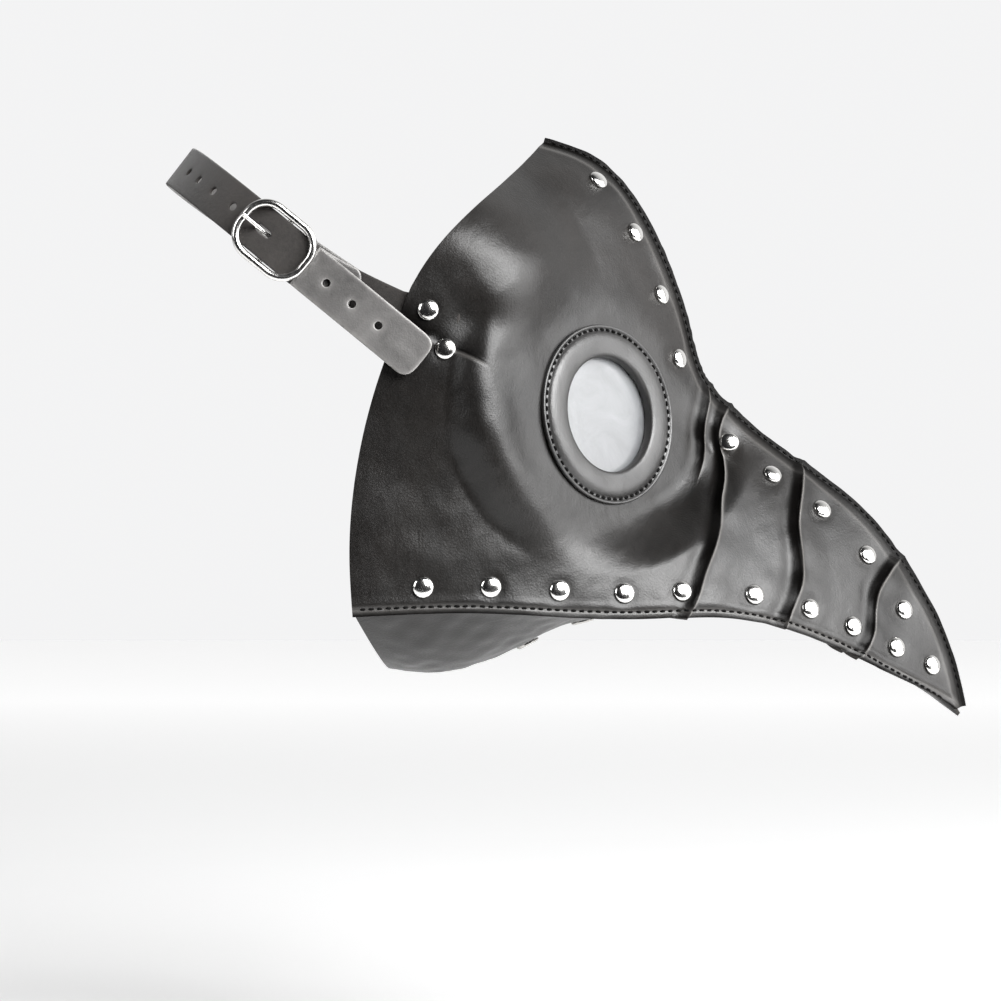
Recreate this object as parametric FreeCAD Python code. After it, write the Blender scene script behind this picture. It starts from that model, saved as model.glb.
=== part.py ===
"""Plague doctor mask: two leather side panels, a gusset under the beak, eye rings with lenses, rivets,
vent eyelets, and a head strap with a centre-bar buckle that swings on the temple rivets.

Millimetres. +X points forward along the beak, +Y to the wearer's left, +Z up. The origin is midway
between the two temple rivets, on the axis that the head strap swings about.
"""
import FreeCAD, Part
import math
import os

os.makedirs("parts", exist_ok=True)
V = FreeCAD.Vector

# ---------------------------------------------------------------- driving dimensions
beak_reach = 214.0            # from the strap's axis forward to the beak's tip
mask_height = 234.0           # from the beak's tip up to the forehead's peak
head_width = 160.0            # over the panels at the temples

leather = 1.8                 # thickness of the panels, gusset and rings
seam_allowance = 2.0          # how far the raw edges of a seam stand out
seam_leaf = 1.5               # thickness of one raw edge, skived thinner than the panel
seam_clear = 0.02             # from the middle plane to each raw edge
gusset_clear = 0.25           # between the gusset's edges and the panels
gusset_end = 0.96             # how far along the lower edges the gusset runs
lower_width = 157.0           # over the lower edges at the rear
tip_width = 8.0               # over the lower edges at the tip
fullness = 1.75               # how late the lower edges turn in towards the tip
crown_rear = 5.2              # how soon a panel turns down from the ridge, at the rear edge
crown_tip = 1.5               # and at the tip

eye_opening = 46.0            # diameter of the hole through the panel
ring_width = 12.0             # from the hole's edge to the eye ring's outer edge
ring_crown = 3.2              # height of the padded roll over the panel
ring_rim = 4.0                # width of its sewn rim
ring_overlap = 0.5            # how far the roll covers the hole's edge
ring_edge = 1.8               # height of its sewn rim
roll_wall = 0.55              # the share of its height over which the roll's inner wall is upright
lens_lap = 3.0                # how far the lens reaches behind the hole's edge
lens_t = 2.0
lens_fit = 0.3                # room round the lens in its retainer
retainer_width = 10.0         # from the hole's edge to the retainer's outer edge
retainer_floor = 1.6          # leather behind the lens
eye_turn = 43.0               # degrees that an eye looks away from straight sideways, towards the front
eye_margin = 1.5              # how far the flat round each eye runs past its ring
eye_blend = 26.0              # how soon the flat runs out
eye_fade = 0.80               # share of the way up to the ridge where it starts to give way to the seam
eye_half = 43.0               # from the middle plane to the eye's centre
eye_lean = 0.15               # how much the eye leans back for its height

rivet_head = 8.0
rivet_dome = 2.2
rivet_post = 2.5
rivet_hole_fit = 0.06         # room round a post, on the radius
rivet_seat = 0.35             # room under a head
back_seat = 0.65              # room under a back cap, where the leather curves
back_cap = 7.0
back_cap_t = 0.9
post_in_cap = 0.6             # the share of the cap's thickness that the post reaches into it
dome_edge = 0.2               # the share of a head's height that is its upright edge
forehead_inset = 8.0          # rivets from the ridge, seen from the side
beak_inset = 11.8
lower_inset = 10.0            # rivets from the lower edge

eyelet_hole = 5.0
eyelet_flange = 9.6
eyelet_wall = 0.4
eyelet_pitch = 24.0
eyelet_first = 57.0           # from the chin's rear edge along the gusset's middle to the first eyelet
eyelet_count = 3
eyelet_dome = 1.1
eyelet_bevel = 0.6            # slope of the flange's edge
eyelet_dish = 0.3             # how far the flange falls towards its bore
washer_t = 0.5

strap_w = 18.0
strap_t = 1.8
strap_gap = 0.3               # between the panel and the strap behind it
temple_flat = 21.0            # radius of the flat that the strap turns on
temple_blend = 48.0           # how soon it runs out
tab_extra = 1.0               # how much wider the strap's end is on each side round its rivet
hole_d = 3.0
hole_pitch = 12.7
rear_reach = 99.8             # from the axis back to the strap behind the head
rear_rise = 60.7              # height of the strap there
straight_reach = 61.0         # where the strap starts to bend round the head
tail_pitch = 39.4             # slope of the strap on the buckle's side
plain_pitch = 34.0            # slope of the strap on the other side
anchor_drop = 6.6             # the strap's middle passes this far below the rivets
tail_reach = 2.2              # the tail ends this far behind the axis

buckle_reach = 57.5           # from the axis back to the centre bar
buckle_l = 32.0               # over the frame, along the strap
buckle_wire = 3.0
strap_room = 1.0              # across the strap, inside the frame
bump_clear = 0.5              # along the strap, from a rail to where the strap rises over the bar
bar_d = 2.4
bar_fit = 0.06                # room round the bar, on the radius
prong_d = 2.0
prong_slot = 3.2
layer_gap = 0.15              # between the tail and what it lies on
fold_reach = 18.5             # the folded end stops this far behind the axis
fold_gap = 0.05               # between the buckle strap and its folded end
fold_corner = 4.0             # rounding of the folded end's corners
fold_rivet_inset = 6.5        # the fold's rivet, from the folded end
fold_bend = 14.0              # how far the buckle strap keeps the tail's direction past the buckle
fold_rivet_seat = 0.15        # room under its head and its back
fold_rivet_t = 0.7            # thickness of its flat head
tail_flare = 3.2              # how far the tail stands off where it crosses the panel
flare_run = 28.0              # how soon it does, from where it bends
tail_split = 1.2              # from the front rail to where the tail bends
hinge_gap = 0.3               # between the tail and the rest of the long strap
tail_holes = 3
first_tail_hole = 25.3        # from the bar
rear_holes = 4
first_rear_hole = 22.0
prong_hole_near = 2.2         # the prong's hole, from the bar
prong_hole_far = 9.6
prong_slot_front = 3.4        # how far the slot in the fold runs in front of the bar
prong_wall = 1.4              # wall of the prong's ring
prong_taper = 0.75            # its tip's size against its root's
prong_rest = 0.3              # between its tip and the rail
buckle_corner = 9.0           # rounding of the frame's corners, on the wire's middle
path_step = 1.5               # spacing of the points that lay out a strap

# ---------------------------------------------------------------- outlines, as shares of the sizes
ridge_shares = [(0.210, 0.314), (0.313, 0.2765), (0.388, 0.1996), (0.444, 0.097), (0.481, -0.0056),
                (0.515, -0.0996), (0.5654, -0.151), (0.687, -0.2363), (0.799, -0.3132),
                (0.883, -0.4073), (0.9486, -0.5098), (0.986, -0.6124), (0.996, -0.656)]
rear_shares = [(-0.1327, -0.4932), (-0.138, -0.402), (-0.1285, -0.2726), (-0.0935, -0.128),
               (-0.046, -0.002), (-0.032, 0.033), (0.1, 0.192), (0.210, 0.314)]
lower_shares = [(-0.1327, -0.4932), (-0.0495, -0.4897), (0.0664, -0.4872), (0.2327, -0.4944),
                (0.376, -0.499), (0.4855, -0.497), (0.596, -0.5064), (0.709, -0.538), (0.7855, -0.569),
                (0.874, -0.6085), (0.9435, -0.641), (0.977, -0.6607)]
chin_shares = [(-0.079, -0.592), (-0.014, -0.598), (0.065, -0.590), (0.152, -0.558), (0.262, -0.513),
               (0.42, -0.495), (0.584, -0.500), (0.724, -0.5363), (0.818, -0.577), (0.883, -0.612),
               (0.949, -0.652), (0.986, -0.677)]
forehead_rivet_shares = [0.099, 0.195, 0.290, 0.381]
beak_rivet_shares = [0.495, 0.564, 0.647, 0.745, 0.839]
lower_rivet_shares = [0.109, 0.210, 0.315, 0.418, 0.511, 0.620, 0.707, 0.781, 0.861, 0.930]
eye_share = (0.3187, -0.1637)
dart_rivet_share = (0.030, -0.0624)

# ---------------------------------------------------------------- how finely shapes are laid out
TABLE = 240                   # points that an outline is read from
ALONG, UP = 44, 26            # a panel's surface
GUSSET_ALONG, GUSSET_ACROSS = 40, 8
ARC_STEPS = 8                 # the roll's arch
DOME_STEP = 10                # degrees of a dome's arc
GRID = 30                     # first guesses of a place on the panel
ROUNDS = 12                   # corrections of that guess
STEP = 0.004                  # shares apart, for a direction on a surface
BEND_STEPS = 80               # the strap's bend behind the head
PLAIN_STEPS = 20              # its straight stretch on the plain side
FOLD_STEPS, TURN_STEPS = 36, 16
TAIL_STEPS = 30
PUNCH = 12.0                  # how far a punch reaches either side of what it cuts
GROW = 1.0                    # how far a cutting shape stands clear of what it cuts


def smooth(t):
    """0 below 0, 1 above 1, and level at both ends."""
    t = min(max(t, 0.0), 1.0)
    return t * t * (3.0 - 2.0 * t)


class Outline:
    """A smooth line through points in the XZ plane, read by the share of its length."""

    def __init__(self, shares):
        points = [V(x * beak_reach, 0, z * mask_height) for x, z in shares]
        self.curve = Part.BSplineCurve()
        self.curve.interpolate(points)
        self.points = self.curve.discretize(Number=TABLE + 1)
        self.length = self.curve.length()

    def at(self, share):
        place = min(max(share, 0.0), 1.0) * TABLE
        i = min(int(place), TABLE - 1)
        return self.points[i] + (self.points[i + 1] - self.points[i]) * (place - i)

    def along(self, share):
        step = 1.0 / TABLE
        return (self.at(share + step) - self.at(share - step)).normalize()


ridge_top = Outline(ridge_shares)
rear = Outline(rear_shares)
lower = Outline(lower_shares)
chin = Outline(chin_shares)


def inward(direction):
    """Square to an outline's direction, in the XZ plane, turned to the right."""
    return V(direction.z, 0, -direction.x)


def ridge(share):
    """The fold that the ridge seam's raw edges stand out from."""
    return ridge_top.at(share) + inward(ridge_top.along(share)) * seam_allowance


def net(u, v):
    """A place in the side view: u from the rear edge to the tip, v from the lower edge to the ridge."""
    low_rear, low_tip = lower.at(0), lower.at(1)
    top_rear, top_tip = ridge(0), ridge(1)
    rear_fit = (top_rear - rear.at(1)) * v
    edges = lower.at(u) * (1 - v) + ridge(u) * v
    sides = (rear.at(v) + rear_fit) * (1 - u) + (low_tip * (1 - v) + top_tip * v) * u
    corners = (low_rear * (1 - v) + top_rear * v) * (1 - u) + (low_tip * (1 - v) + top_tip * v) * u
    return edges + sides - corners


eye_x, eye_z = eye_share[0] * beak_reach, eye_share[1] * mask_height
eye_slope = math.tan(math.radians(eye_turn))
ring_outer = eye_opening + 2 * ring_width
eye_flat = ring_outer / 2 + eye_margin            # radius of the flat round each eye
temple_half = head_width / 2


def half_width(u, v, place):
    """Half the width over the panels: rounded, but flat round the temples and the eyes."""
    lower_half = tip_width / 2 + (lower_width - tip_width) / 2 * (1 - u ** fullness)
    crown = crown_tip + (crown_rear - crown_tip) * (1 - u) ** 4
    half = seam_leaf + (lower_half - seam_leaf) * (1 - v ** crown)
    temple = 1 - smooth((math.hypot(place.x, place.z) - temple_flat) / temple_blend)
    half += (temple_half - half) * temple
    dx, dz = place.x - eye_x, place.z - eye_z
    eye = 1 - smooth((math.hypot(dx, dz) - eye_flat) / eye_blend)
    eye *= 1 - smooth((v - eye_fade) / (1 - eye_fade))
    return half + (eye_half - eye_slope * dx - eye_lean * dz - half) * eye


def skin(u, v):
    """A point of the right panel's outer face."""
    place = net(u, v)
    return V(place.x, -half_width(u, v, place), place.z)


def skin_normal(u, v):
    """Square to the right panel's outer face, pointing away from the wearer."""
    across = skin(min(u + STEP, 1), v) - skin(max(u - STEP, 0), v)
    upward = skin(u, min(v + STEP, 1)) - skin(u, max(v - STEP, 0))
    return across.cross(upward).normalize()


def find(x, z):
    """The u and v of the panel's point that is at x and z in the side view."""
    grid = [(i / GRID, j / GRID) for i in range(GRID + 1) for j in range(GRID + 1)]
    u, v = min(grid, key=lambda g: (net(*g).x - x) ** 2 + (net(*g).z - z) ** 2)
    for _ in range(ROUNDS):
        here = net(u, v)
        du = (net(u + STEP, v) - here) * (1 / STEP)
        dv = (net(u, v + STEP) - here) * (1 / STEP)
        det = du.x * dv.z - dv.x * du.z
        ex, ez = x - here.x, z - here.z
        u += (ex * dv.z - dv.x * ez) / det
        v += (du.x * ez - ex * du.z) / det
        u, v = min(max(u, 0.0), 1.0), min(max(v, 0.0), 1.0)
    return u, v


def seat(x, z):
    """The right panel's outer point at x and z in the side view, and its outward normal."""
    u, v = find(x, z)
    return skin(u, v), skin_normal(u, v)


# ---------------------------------------------------------------- shape helpers
def line(a, b):
    return Part.LineSegment(a, b).toShape()


def closed_solid(faces):
    shell = Part.Shell(faces)
    shell.sewShape()
    solid = Part.Solid(Part.Shell(shell.Faces))
    if solid.Volume < 0:
        solid.reverse()
    return solid


def surface_of(rows):
    surface = Part.BSplineSurface()
    surface.interpolate(rows)
    return surface


def edges_of(surface):
    """The first and last row, then the first and last column, as edges."""
    u0, u1, v0, v1 = surface.bounds()
    curves = [surface.uIso(u0), surface.uIso(u1), surface.vIso(v0), surface.vIso(v1)]
    return [c.toShape() for c in curves]


def ruled(a, b):
    return Part.makeRuledSurface(a, b)


def between(outer_rows, inner_rows):
    """A solid sheet between two nets of points."""
    outer, inner = surface_of(outer_rows), surface_of(inner_rows)
    rims = [ruled(a, b) for a, b in zip(edges_of(outer), edges_of(inner))]
    return closed_solid([outer.toShape(), inner.toShape()] + rims)


def mirrored(shape):
    return shape.mirror(V(0, 0, 0), V(0, 1, 0))


def turned(profile, point, axis):
    """A solid of revolution: profile is (radius, height) pairs, standing on point along axis."""
    corners = [V(r, 0, h) for r, h in profile]
    face = Part.Face(Part.makePolygon(corners + corners[:1]))
    solid = face.revolve(V(0, 0, 0), V(0, 0, 1), 360)
    spin = FreeCAD.Rotation(V(0, 0, 1), axis)
    solid.Placement = FreeCAD.Placement(point, spin)
    return solid


def rod(start, axis, r, length):
    return Part.makeCylinder(r, length, start, axis)


def punch(point, axis, r):
    """What drills a round hole through the leather at point."""
    return rod(point - axis * PUNCH, axis, r, 2 * PUNCH)


def save(name, *solids):
    shape = solids[0] if len(solids) == 1 else Part.Compound(list(solids))
    shape.exportStep("parts/" + name + ".step")


# ---------------------------------------------------------------- panels
def ridge_inner(point):
    """Keeps the inner face of a seam on the wearer's own side of the middle."""
    return V(point.x, min(point.y, -seam_clear), point.z)


def panel_sheet():
    """The right panel: a curved sheet whose ridge edge turns out into the raw edge of the seam."""
    us = [i / ALONG for i in range(ALONG + 1)]
    vs = [j / UP for j in range(UP + 1)]
    outer_rows = [[skin(u, v) for v in vs] for u in us]
    inner_rows = [[ridge_inner(skin(u, v) - skin_normal(u, v) * leather) for v in vs] for u in us]
    outer, inner = surface_of(outer_rows), surface_of(inner_rows)
    rear_out, tip_out, low_out, top_out = edges_of(outer)
    rear_in, tip_in, low_in, top_in = edges_of(inner)
    crest_out, crest_in = Part.BSplineCurve(), Part.BSplineCurve()
    crest_out.interpolate([ridge_top.at(u) - V(0, seam_leaf, 0) for u in us])
    crest_in.interpolate([ridge_top.at(u) - V(0, seam_clear, 0) for u in us])
    crest_out, crest_in = crest_out.toShape(), crest_in.toShape()
    faces = [outer.toShape(), inner.toShape(), ruled(rear_out, rear_in), ruled(tip_out, tip_in),
             ruled(low_out, low_in), ruled(top_out, crest_out), ruled(top_in, crest_in),
             ruled(crest_out, crest_in)]
    for end in (0, -1):
        root = line(outer_rows[end][-1], inner_rows[end][-1])
        top = ridge_top.at(us[end])
        crest = line(top - V(0, seam_leaf, 0), top - V(0, seam_clear, 0))
        faces.append(ruled(root, crest))
    return closed_solid(faces)


def spots_on(outline, shares, inset):
    """Places at shares of an outline's length and an inset to its right, as (x, z)."""
    places = []
    for share in shares:
        place = outline.at(share) + inward(outline.along(share)) * inset
        places.append((place.x, place.z))
    return places


forehead_spots = spots_on(ridge_top, forehead_rivet_shares, forehead_inset)
beak_spots = spots_on(ridge_top, beak_rivet_shares, beak_inset)
lower_row = spots_on(lower, lower_rivet_shares, -lower_inset)
dart_spot = (dart_rivet_share[0] * beak_reach, dart_rivet_share[1] * mask_height)
temple_spot = (0.0, 0.0)
every_spot = forehead_spots + beak_spots + lower_row + [dart_spot, temple_spot]

eye_point, eye_axis = seat(eye_x, eye_z)
hole_r = rivet_post / 2 + rivet_hole_fit


def build_panel():
    panel = panel_sheet()
    cuts = [punch(eye_point, eye_axis, eye_opening / 2)]
    for x, z in every_spot:
        cuts.append(punch(*seat(x, z), hole_r))
    return panel.cut(cuts)


panel_right = build_panel()
save("side_panel_right", panel_right)
save("side_panel_left", mirrored(panel_right))


# ---------------------------------------------------------------- gusset under the beak
gusset_shares = [i / GUSSET_ALONG for i in range(GUSSET_ALONG + 1)]
across_shares = [j / GUSSET_ACROSS for j in range(-GUSSET_ACROSS, GUSSET_ACROSS + 1)]


def gusset_edge(u, lift):
    """Where the gusset meets the right panel's inner face, above the edge by a seam and a lift."""
    v = (seam_allowance + lift) / (ridge(u) - lower.at(u)).Length
    return skin(u, v) - skin_normal(u, v) * (leather + gusset_clear)


def gusset_point(share, across, lift=0.0):
    """A point of the gusset, a lift above its outer face: across runs from -1 at the right to 1."""
    u = share * gusset_end
    edge = gusset_edge(u, lift)
    middle = chin.at(u) - inward(chin.along(u)) * lift
    bend = across * across
    x = middle.x * (1 - bend) + edge.x * bend
    z = middle.z * (1 - bend) + edge.z * bend
    return V(x, -edge.y * across, z)


def gusset_normal(share, across):
    """Square to the gusset's outer face, pointing down."""
    fore = gusset_point(min(share + STEP, 1), across) - gusset_point(max(share - STEP, 0), across)
    side = gusset_point(share, min(across + STEP, 1)) - gusset_point(share, max(across - STEP, -1))
    return side.cross(fore).normalize()


def eyelet_shares():
    """Places along the gusset's middle, an eyelet pitch apart."""
    first = eyelet_first / chin.length
    return [first + i * eyelet_pitch / chin.length for i in range(eyelet_count)]


def gusset_seat(share):
    place = share / gusset_end
    return gusset_point(place, 0), gusset_normal(place, 0)


def build_gusset():
    outer_rows = [[gusset_point(s, a) for a in across_shares] for s in gusset_shares]
    inner_rows = [[gusset_point(s, a, leather) for a in across_shares] for s in gusset_shares]
    sheet = between(outer_rows, inner_rows)
    hole = eyelet_hole / 2 + eyelet_wall + rivet_hole_fit
    return sheet.cut([punch(*gusset_seat(share), hole) for share in eyelet_shares()])


save("beak_gusset", build_gusset())


# ---------------------------------------------------------------- eyes
def ring_profile():
    """The padded roll inside, falling to a sewn rim outside, as (radius, height)."""
    inner, outer = eye_opening / 2 - ring_overlap, ring_outer / 2
    roll = outer - ring_rim - inner
    corners = [(inner, rivet_seat), (inner, ring_crown * roll_wall)]
    for i in range(1, ARC_STEPS):
        turn = math.pi * i / ARC_STEPS
        height = ring_edge + (ring_crown - ring_edge) * math.sin(turn)
        corners.append((inner + roll * (1 - math.cos(turn)) / 2, height))
    return corners + [(outer - ring_rim, ring_edge), (outer, ring_edge), (outer, rivet_seat)]


behind = -(leather + rivet_seat)
lens_back = behind - lens_t
pocket_back = lens_back - lens_fit / 2
retainer_back = pocket_back - retainer_floor
lens_r = eye_opening / 2 + lens_lap
retainer_r = eye_opening / 2 + retainer_width
ring = turned(ring_profile(), eye_point, eye_axis)
lens = turned([(0, behind), (lens_r, behind), (lens_r, lens_back), (0, lens_back)], eye_point, eye_axis)
pocket_r = lens_r + lens_fit
retainer = turned([(eye_opening / 2, retainer_back), (eye_opening / 2, pocket_back),
                   (pocket_r, pocket_back), (pocket_r, behind), (retainer_r, behind),
                   (retainer_r, retainer_back)], eye_point, eye_axis)
for name, shape in (("eye_ring", ring), ("lens", lens), ("lens_retainer", retainer)):
    save(name + "_right", shape)
    save(name + "_left", mirrored(shape))


# ---------------------------------------------------------------- rivets
def dome_profile(r, height, base):
    """A low dome of radius r standing on base, as (radius, height)."""
    edge = height * dome_edge
    rise = height - edge
    arc = [(r * math.cos(math.radians(a)), base + edge + rise * math.sin(math.radians(a)))
           for a in range(0, 90, DOME_STEP)]
    return [(r, base)] + arc + [(0, base + height)]


def rivet(point, axis, grip):
    """A domed head with its post, and the cap that closes it behind grip millimetres of leather."""
    post_r = rivet_post / 2
    reach = -(grip + back_seat + back_cap_t * post_in_cap)
    profile = [(0, reach), (post_r, reach), (post_r, rivet_seat)]
    head = turned(profile + dome_profile(rivet_head / 2, rivet_dome, rivet_seat), point, axis)
    near, far = -(grip + back_seat), -(grip + back_seat + back_cap_t)
    cap_r = back_cap / 2
    cap = turned([(post_r, near), (cap_r, near), (cap_r, far + back_cap_t / 3),
                  (cap_r - back_cap_t / 3, far), (0, far), (0, reach), (post_r, reach)], point, axis)
    return head, cap


def rivet_row(name, backs_name, places, grip=leather):
    pairs = [rivet(*seat(x, z), grip) for x, z in places]
    for node, solids in ((name, [p[0] for p in pairs]), (backs_name, [p[1] for p in pairs])):
        save(node + "_right", *solids)
        save(node + "_left", *[mirrored(s) for s in solids])


rivet_row("forehead_rivets", "forehead_rivet_backs", forehead_spots)
rivet_row("beak_rivets", "beak_rivet_backs", beak_spots)
rivet_row("lower_rivets", "lower_rivet_backs", lower_row)
rivet_row("dart_rivet", "dart_rivet_back", [dart_spot])
rivet_row("temple_rivet", "temple_rivet_back", [temple_spot], leather + strap_gap + strap_t)


# ---------------------------------------------------------------- vent eyelets
def eyelets():
    """Flanged barrels through the gusset, and the washers that they are rolled over on the inside."""
    bore = eyelet_hole / 2
    barrel = bore + eyelet_wall
    flange = eyelet_flange / 2
    hole = barrel + rivet_hole_fit
    top = rivet_seat + eyelet_dome
    inner_face = -(leather + rivet_seat)
    end = inner_face - washer_t - eyelet_wall
    rolled, washers = [], []
    for share in eyelet_shares():
        point, axis = gusset_seat(share)
        crown = [(flange, rivet_seat), (flange, rivet_seat + top / 3),
                 (flange - eyelet_bevel, top), (barrel, top), (bore, top - eyelet_dish)]
        barrel_profile = [(bore, end), (barrel, end), (barrel, rivet_seat)] + crown
        rolled.append(turned(barrel_profile, point, axis))
        washers.append(turned([(hole, inner_face), (flange, inner_face),
                               (flange, inner_face - washer_t), (hole, inner_face - washer_t)],
                              point, axis))
    return rolled, washers


eyelet_solids, washer_solids = eyelets()
save("vent_eyelets", *eyelet_solids)
save("vent_washers", *washer_solids)


# ---------------------------------------------------------------- head strap, levels from the middle
strap_out = temple_half - leather - strap_gap     # outer face of the straps behind the panels
strap_mid = strap_out - strap_t / 2
bar_level = strap_out + bar_d / 2 + bar_fit       # middle of the buckle's centre bar
fold_out = strap_out + fold_gap + strap_t         # outer face of the folded end
tail_in = fold_out + layer_gap                    # inner face of the long strap at the buckle
tail_mid = tail_in + strap_t / 2
rail_level = tail_in + strap_t + layer_gap + buckle_wire / 2
bar_rise = bar_d + 2 * bar_fit                    # the straps rise this much to pass over the bar

pitch = math.radians(tail_pitch)
forward = V(math.cos(pitch), 0, -math.sin(pitch))     # along the tail, towards its tip
upward = V(math.sin(pitch), 0, math.cos(pitch))       # across the tail
outward = V(0, -1, 0)
tail_turn = FreeCAD.Rotation(V(0, 1, 0), tail_pitch)  # lays a level shape along the tail
rail_reach = (buckle_l - buckle_wire) / 2
rail_half = (strap_w + strap_room + buckle_wire) / 2
bump_reach = rail_reach - buckle_wire / 2 - bump_clear
bar_centre = V(-buckle_reach, -bar_level, rear_rise - (rear_reach - buckle_reach) * math.tan(pitch))
tail_start = rail_reach + buckle_wire / 2 + tail_split
tail_length = (buckle_reach - tail_reach) / math.cos(pitch)


def over_bar(d):
    """How far a strap rises to pass over the centre bar, d along the strap from it."""
    if abs(d) >= bump_reach:
        return 0.0
    return bar_rise * math.cos(math.pi * d / (2 * bump_reach)) ** 2


def near_buckle(d, level):
    """A point d forward of the centre bar along the tail, and level out from the middle plane."""
    point = bar_centre + forward * d
    return V(point.x, -level, point.z)


def side_face(a, b):
    """The straight-ruled face between two curves that share their knots."""
    surface = Part.BSplineSurface()
    surface.buildFromPolesMultsKnots([a.getPoles(), b.getPoles()], [2, 2], a.getMultiplicities(),
                                     [0, 1], a.getKnots(), False, False, 1, a.Degree)
    return surface.toShape()


def ribbon(path, widths):
    """A flat strap whose middle follows path, with its width along widths."""
    half_w, half_t = strap_w / 2, strap_t / 2
    parameters = [0.0]
    for a, b in zip(path, path[1:]):
        parameters.append(parameters[-1] + (b - a).Length)
    corners = {key: [] for key in ((1, 1), (1, -1), (-1, -1), (-1, 1))}
    for i, point in enumerate(path):
        tangent = (path[min(i + 1, len(path) - 1)] - path[max(i - 1, 0)]).normalize()
        width = (widths[i] - tangent * widths[i].dot(tangent)).normalize()
        normal = tangent.cross(width)
        for (w, n), line_points in corners.items():
            line_points.append(point + width * (half_w * w) + normal * (half_t * n))
    lines_of_points = list(corners.values())
    curves = []
    for points in lines_of_points:
        curve = Part.BSplineCurve()
        curve.interpolate(Points=points, Parameters=parameters)
        curves.append(curve)
    faces = [side_face(curves[i], curves[(i + 1) % 4]) for i in range(4)]
    for end in (0, -1):
        ring_of = [points[end] for points in lines_of_points]
        faces.append(Part.Face(Part.makePolygon(ring_of + ring_of[:1])))
    return closed_solid(faces)


def strap_line(reach, y):
    """The long strap's middle line: its height follows how far back it is and which side it is on."""
    share = smooth((y + tail_mid) / (tail_mid + strap_mid))
    slope = math.radians(tail_pitch + (plain_pitch - tail_pitch) * share)
    point = V(-reach, y, rear_rise - (rear_reach - reach) * math.tan(slope))
    return point, V(math.sin(slope), 0, math.cos(slope))


def long_strap_path():
    """From in front of the buckle, back past it, round the head and forward to the left rivet."""
    places = []
    along = math.cos(pitch)
    start = tail_start - hinge_gap
    run = start + (straight_reach - buckle_reach) / along
    steps = int(run / path_step)
    for i in range(steps):
        d = start - run * i / steps
        places.append((buckle_reach - d * along, -(tail_mid + over_bar(d))))
    bend = rear_reach - straight_reach
    for i in range(BEND_STEPS + 1):
        turn = math.radians(-90 + 180 * i / BEND_STEPS)
        reach = straight_reach + bend * math.cos(turn)
        rise = over_bar((buckle_reach - reach) / along) if turn < 0 else 0.0
        side = tail_mid + rise if turn < 0 else strap_mid
        places.append((reach, side * math.sin(turn)))
    for i in range(1, PLAIN_STEPS + 1):
        places.append((straight_reach * (1 - i / PLAIN_STEPS), strap_mid))
    return places


def strap_tab(y_mid):
    """The wider round of leather about a strap's rivet."""
    return rod(V(0, y_mid - strap_t / 2, 0), V(0, 1, 0), strap_w / 2 + tab_extra, strap_t)


def corner_cut(place, along, side, depth):
    """What rounds one corner of a flat strap's end: the corner's place, and a depth towards -Y."""
    r = fold_corner
    near_a, near_b = place - along * r, place - side * r
    a, b = near_a + side * GROW, near_b + along * GROW
    corner = place + side * GROW + along * GROW
    middle = near_a - side * r + (along + side) * (r / math.sqrt(2))
    edges = [line(near_a, a), line(a, corner), line(corner, b), line(b, near_b),
             Part.Arc(near_b, middle, near_a).toShape()]
    return Part.Face(Part.Wire(edges)).extrude(outward * depth)


def hole_along(path, distance, r):
    """A punch through a strap at a distance along its path, square to its face."""
    run = 0.0
    for a, b in zip(path, path[1:]):
        step = (b - a).Length
        if run + step >= distance:
            point = a + (b - a) * ((distance - run) / step)
            return punch(point, (b - a).cross(upward).normalize(), r)
        run += step


def slot_at(d_from, d_to, width):
    """A round-ended punch through everything at the buckle, between two distances from its bar."""
    r = width / 2
    start = near_buckle(d_from + r, tail_mid)
    end = near_buckle(d_to - r, tail_mid)
    middle = Part.makeBox(d_to - d_from - width, 2 * PUNCH, width, V(0, -PUNCH, -r))
    middle.Placement = FreeCAD.Placement(start, tail_turn)
    return [punch(start, outward, r), punch(end, outward, r), middle]


def build_long_strap():
    lined = [strap_line(reach, y) for reach, y in long_strap_path()]
    path = [p for p, w in lined]
    band = ribbon(path, [w for p, w in lined])
    band = band.fuse(strap_tab(strap_mid)).removeSplitter()
    cuts = slot_at(-prong_hole_far, -prong_hole_near, hole_d)
    to_bar = tail_start - hinge_gap
    for i in range(rear_holes):
        cuts.append(hole_along(path, to_bar + first_rear_hole + i * hole_pitch, hole_d / 2))
    cuts.append(punch(V(0, strap_mid, 0), outward, hole_r))
    end, width = lined[-1]
    along = V(width.z, 0, -width.x)
    corner = V(end.x, strap_out + GROW, end.z) - width * (strap_w / 2)
    cuts.append(corner_cut(corner, along, width * -1, strap_t + 2 * GROW))
    return band.cut(cuts)


def tail_level(d):
    return tail_mid + over_bar(d) + tail_flare * smooth((d - tail_start) / flare_run)


def build_tail():
    """The free end: it lies on the folded end, then stands off to clear the panel and its rivets."""
    run = tail_length - tail_start
    ds = [tail_start + run * i / TAIL_STEPS for i in range(TAIL_STEPS + 1)]
    band = ribbon([near_buckle(d, tail_level(d)) for d in ds], [upward] * len(ds))
    half_w = strap_w / 2
    round_centre = near_buckle(tail_length - half_w, tail_mid)
    length = run - half_w + GROW
    body = Part.makeBox(length, 2 * PUNCH, strap_w, V(-length, -PUNCH, -half_w))
    body.Placement = FreeCAD.Placement(round_centre, tail_turn)
    outline = body.fuse(punch(round_centre, outward, half_w)).removeSplitter()
    holes = [punch(near_buckle(first_tail_hole + i * hole_pitch, tail_mid), outward, hole_d / 2)
             for i in range(tail_holes)]
    return band.common(outline).cut(holes)


save("long_strap", build_long_strap())
save("strap_tail", build_tail())


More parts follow.
